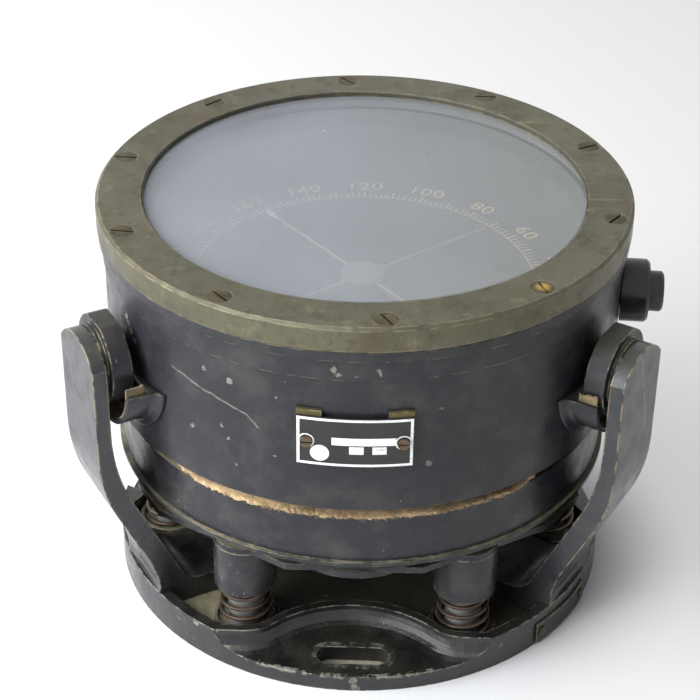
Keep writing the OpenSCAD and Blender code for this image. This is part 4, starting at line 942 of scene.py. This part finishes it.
def curved_ring(verts, faces, x, z, inner, outer, radius):
    """A ring, or a disc where inner is 0, bent round the bowl and facing -Y."""
    base = len(verts)
    sides = 32
    for i in range(sides):
        a = 2 * math.pi * i / sides
        for r in (inner, outer):
            px = x + r * math.cos(a)
            verts.append(Vector((px, -math.sqrt(radius * radius - px * px), z + r * math.sin(a))))
    for i in range(sides):
        k = base + 2 * i
        n = base + 2 * ((i + 1) % sides)
        faces.append((k, k + 1, n + 1, n))


def make_nameplate_print():
    """A white line round the nameplate and plain blank fields: nothing on it can be read."""
    low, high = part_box("nameplate")
    face = -low.y + PRINT_LIFT
    middle = (low.z + high.z) / 2
    white = worn_print("nameplate_print", (0.88, 0.88, 0.86), (0.50, 0.50, 0.48))
    edge = 0.25 * MM
    line = 0.9 * MM
    x0, x1 = low.x + edge, high.x - edge
    z0, z1 = low.z + edge, high.z - edge
    verts = []
    faces = []
    curved_patch(verts, faces, x0, x1, z0, z0 + line, face, 30)
    curved_patch(verts, faces, x0, x1, z1 - line, z1, face, 30)
    curved_patch(verts, faces, x0, x0 + line, z0 + line, z1 - line, face, 2)
    curved_patch(verts, faces, x1 - line, x1, z0 + line, z1 - line, face, 2)
    # Each blank field's middle, width, top and bottom, in mm
    for x, wide, up, down in ((2.8, 20.0, 1.9, -0.9), (0.55, 4.5, -1.3, -4.1),
                              (7.7, 4.4, -1.3, -4.1)):
        curved_patch(verts, faces, (x - wide / 2) * MM, (x + wide / 2) * MM,
                     middle + down * MM, middle + up * MM, face)
    for x, z, inner, outer in ((-10.9, -4.2, 0.0, 3.0), (-15.1, 0, 2.1, 2.6),
                               (15.1, 0, 2.1, 2.6)):
        curved_ring(verts, faces, x * MM, middle + z * MM, inner * MM, outer * MM, face)
    settle(new_piece("nameplate_fields", verts, faces, white), "bowl", "cream_paint")


def make_washer_marks():
    """Metal laid bare round each mounting slot by the washer that sat there."""
    g = Graph("washer_mark")
    g.put(Base_Color=g.mix(g.noise(300, 5), (0.10, 0.095, 0.075), (0.30, 0.285, 0.235)))
    g.put(Metallic=0.4, Roughness=0.55)
    g.put(Alpha=g.ramp(g.noise(210, 6, rough=0.72, shift=8), 0.44, 0.60, 0.0, 0.92))
    g.bump(g.noise(800, 3), 0.05, 0.6)
    steps = 14
    for index, azimuth in enumerate(POCKET_AZ):
        turn = Matrix.Rotation(math.radians(azimuth), 4, "Z")
        verts = []
        faces = []
        for side in (-1, 1):
            for i in range(steps + 1):
                a = math.radians(-90 + 180 * i / steps)
                for r in WASHER_RING:
                    x = side * (SLOT_HALF + r * math.cos(a))
                    y = r * math.sin(a) * side
                    z = POCKET_FLOOR * MM + PRINT_LIFT
                    verts.append(turn @ Vector(((SLOT_PITCH + y) * MM, -x * MM, z)))
        count = 2 * (steps + 1)
        for i in range(count):
            j = (i + 1) % count
            faces.append((2 * i, 2 * j, 2 * j + 1, 2 * i + 1))
        name = "washer_mark_%d" % (index + 1)
        piece = new_piece(name, verts, faces, g.material, smooth=False)
        settle(piece, "base", "steel_dull")


def make_camera():
    level = math.cos(CAMERA_DOWN)
    fwd = Vector((math.sin(CAMERA_TURN) * level, math.cos(CAMERA_TURN) * level,
                  -math.sin(CAMERA_DOWN)))
    right = Vector((math.cos(CAMERA_TURN), -math.sin(CAMERA_TURN), 0))
    down = fwd.cross(right)
    c = math.cos(CAMERA_ROLL)
    s = math.sin(CAMERA_ROLL)
    turned_right = c * right + s * down
    turned_down = -s * right + c * down
    data = bpy.data.cameras.new("camera")
    data.lens = LENS_MM
    data.sensor_width = SENSOR_MM
    data.sensor_fit = "HORIZONTAL"
    data.clip_start = 0.01
    camera = bpy.data.objects.new("camera", data)
    axes = Matrix((turned_right, -turned_down, -fwd)).transposed()
    camera.matrix_world = Matrix.Translation(CAMERA_AT) @ axes.to_4x4()
    bpy.context.scene.collection.objects.link(camera)
    bpy.context.scene.camera = camera


def make_lamp(name, place, size, watts, colour, mirrored):
    data = bpy.data.lights.new(name, "AREA")
    data.shape = "RECTANGLE"
    data.size = size[0]
    data.size_y = size[1]
    data.energy = watts
    data.color = colour
    lamp = bpy.data.objects.new(name, data)
    lamp.location = place
    lamp.visible_glossy = mirrored
    aim = Vector(LAMP_TARGET) - Vector(place)
    lamp.rotation_euler = aim.to_track_quat("-Z", "Y").to_euler()
    bpy.context.scene.collection.objects.link(lamp)


def make_floor():
    """A pale floor, painted brighter on the left where the light falls and painted dark as shade
    under the base's foot, that fades into the room far away.
    """
    g = Graph("floor_paper")
    # painted light: the floor's colour is paler on the left, where the light falls, and darker
    # towards the right
    side = g.ramp(g.vector("DOT_PRODUCT", g.where, (1, 0.45, 0)), -0.15, 0.55)
    colour = g.mix(side, (0.84, 0.845, 0.85), (0.72, 0.70, 0.685))
    patches = g.mix(side, (0.82, 0.82, 0.83), (0.76, 0.74, 0.725))
    colour = g.mix(g.noise(60, 5, shift=3), colour, patches)
    from_middle = g.vector("LENGTH", g.where)
    # painted shade: the floor under the base's foot gets this dark colour as the shade beneath the
    # base
    grime = g.mix(g.noise(420, 5), (0.16, 0.145, 0.11), (0.46, 0.43, 0.34))
    g.put(Base_Color=g.mix(g.ramp(from_middle, *FOOT_SHADE_EDGE), colour, grime))
    g.put(Roughness=0.9)
    g.bump(g.noise(90, 4), 0.15, 0.4)
    away = g.ramp(from_middle, *FADE_OUT)
    haze = g.ramp(g.part(g.vector("NORMALIZE", g.where), "X"), *ROOM_SIDES)
    glow = g.nodes.new("ShaderNodeEmission")
    # painted light: the floor's glow is whiter on the left and darker towards the right
    near = g.mix(side, (1.0, 1.0, 1.0), (0.74, 0.705, 0.685))
    g.feed(glow.inputs["Color"], g.mix(away, near, ROOM_WHITE))
    dimmed = g.math("MULTIPLY", away, g.math("SUBTRACT", haze, 1.0))
    g.feed(glow.inputs["Strength"], g.math("ADD", dimmed, 1.0))
    share = g.math("ADD", g.ramp(from_middle, *SHADOW_EDGE, 0.0, FLOOR_GLOW),
                   g.math("MULTIPLY", away, 1 - FLOOR_GLOW))
    blend = g.nodes.new("ShaderNodeMixShader")
    g.feed(blend.inputs[0], g.math("MULTIPLY", g.seen(), share))
    g.links.new(g.shader.outputs[0], blend.inputs[1])
    g.links.new(glow.outputs[0], blend.inputs[2])
    g.links.new(blend.outputs[0], g.out.inputs["Surface"])
    half = FLOOR_HALF
    corners = [(-half, -half, 0), (half, -half, 0), (half, half, 0), (-half, half, 0)]
    new_piece("floor", corners, [(0, 1, 2, 3)], g.material, smooth=False)


def make_room():
    """Light from the left and from above the back; the room itself is seen pale all round."""
    room = Room("room")
    across = room.part(room.where, "X")
    above = room.vector("DOT_PRODUCT", room.where, (0, 0.55, 0.83))
    above = room.math("MULTIPLY", room.ramp(above, 0.1, 0.9, 0.0, 0.6),
                      room.ramp(across, 0.0, 0.7, 1.0, 0.3))
    light = room.math("ADD", room.ramp(across, -0.8, 0.35, 0.95, 0.03), above)
    seen = room.seen()
    light = room.math("MULTIPLY", light, room.math("SUBTRACT", 1.0, seen))
    pale = room.math("MULTIPLY", room.ramp(across, *ROOM_SIDES), seen)
    room.put(Strength=room.math("ADD", light, pale), Color=ROOM_WHITE)
    bpy.context.scene.world = room.world


make_camera()
make_camera()
make_floor()
make_room()
for lamp in LAMPS:
    make_lamp(*lamp)
dress_nodes()
make_springs()
make_felt_ring()
make_cradles()
make_cradle_felts()
make_sealant()
make_dial_marks()
make_nameplate_print()
make_washer_marks()
bpy.context.scene.view_settings.view_transform = "Standard"
bpy.context.view_layer.update()
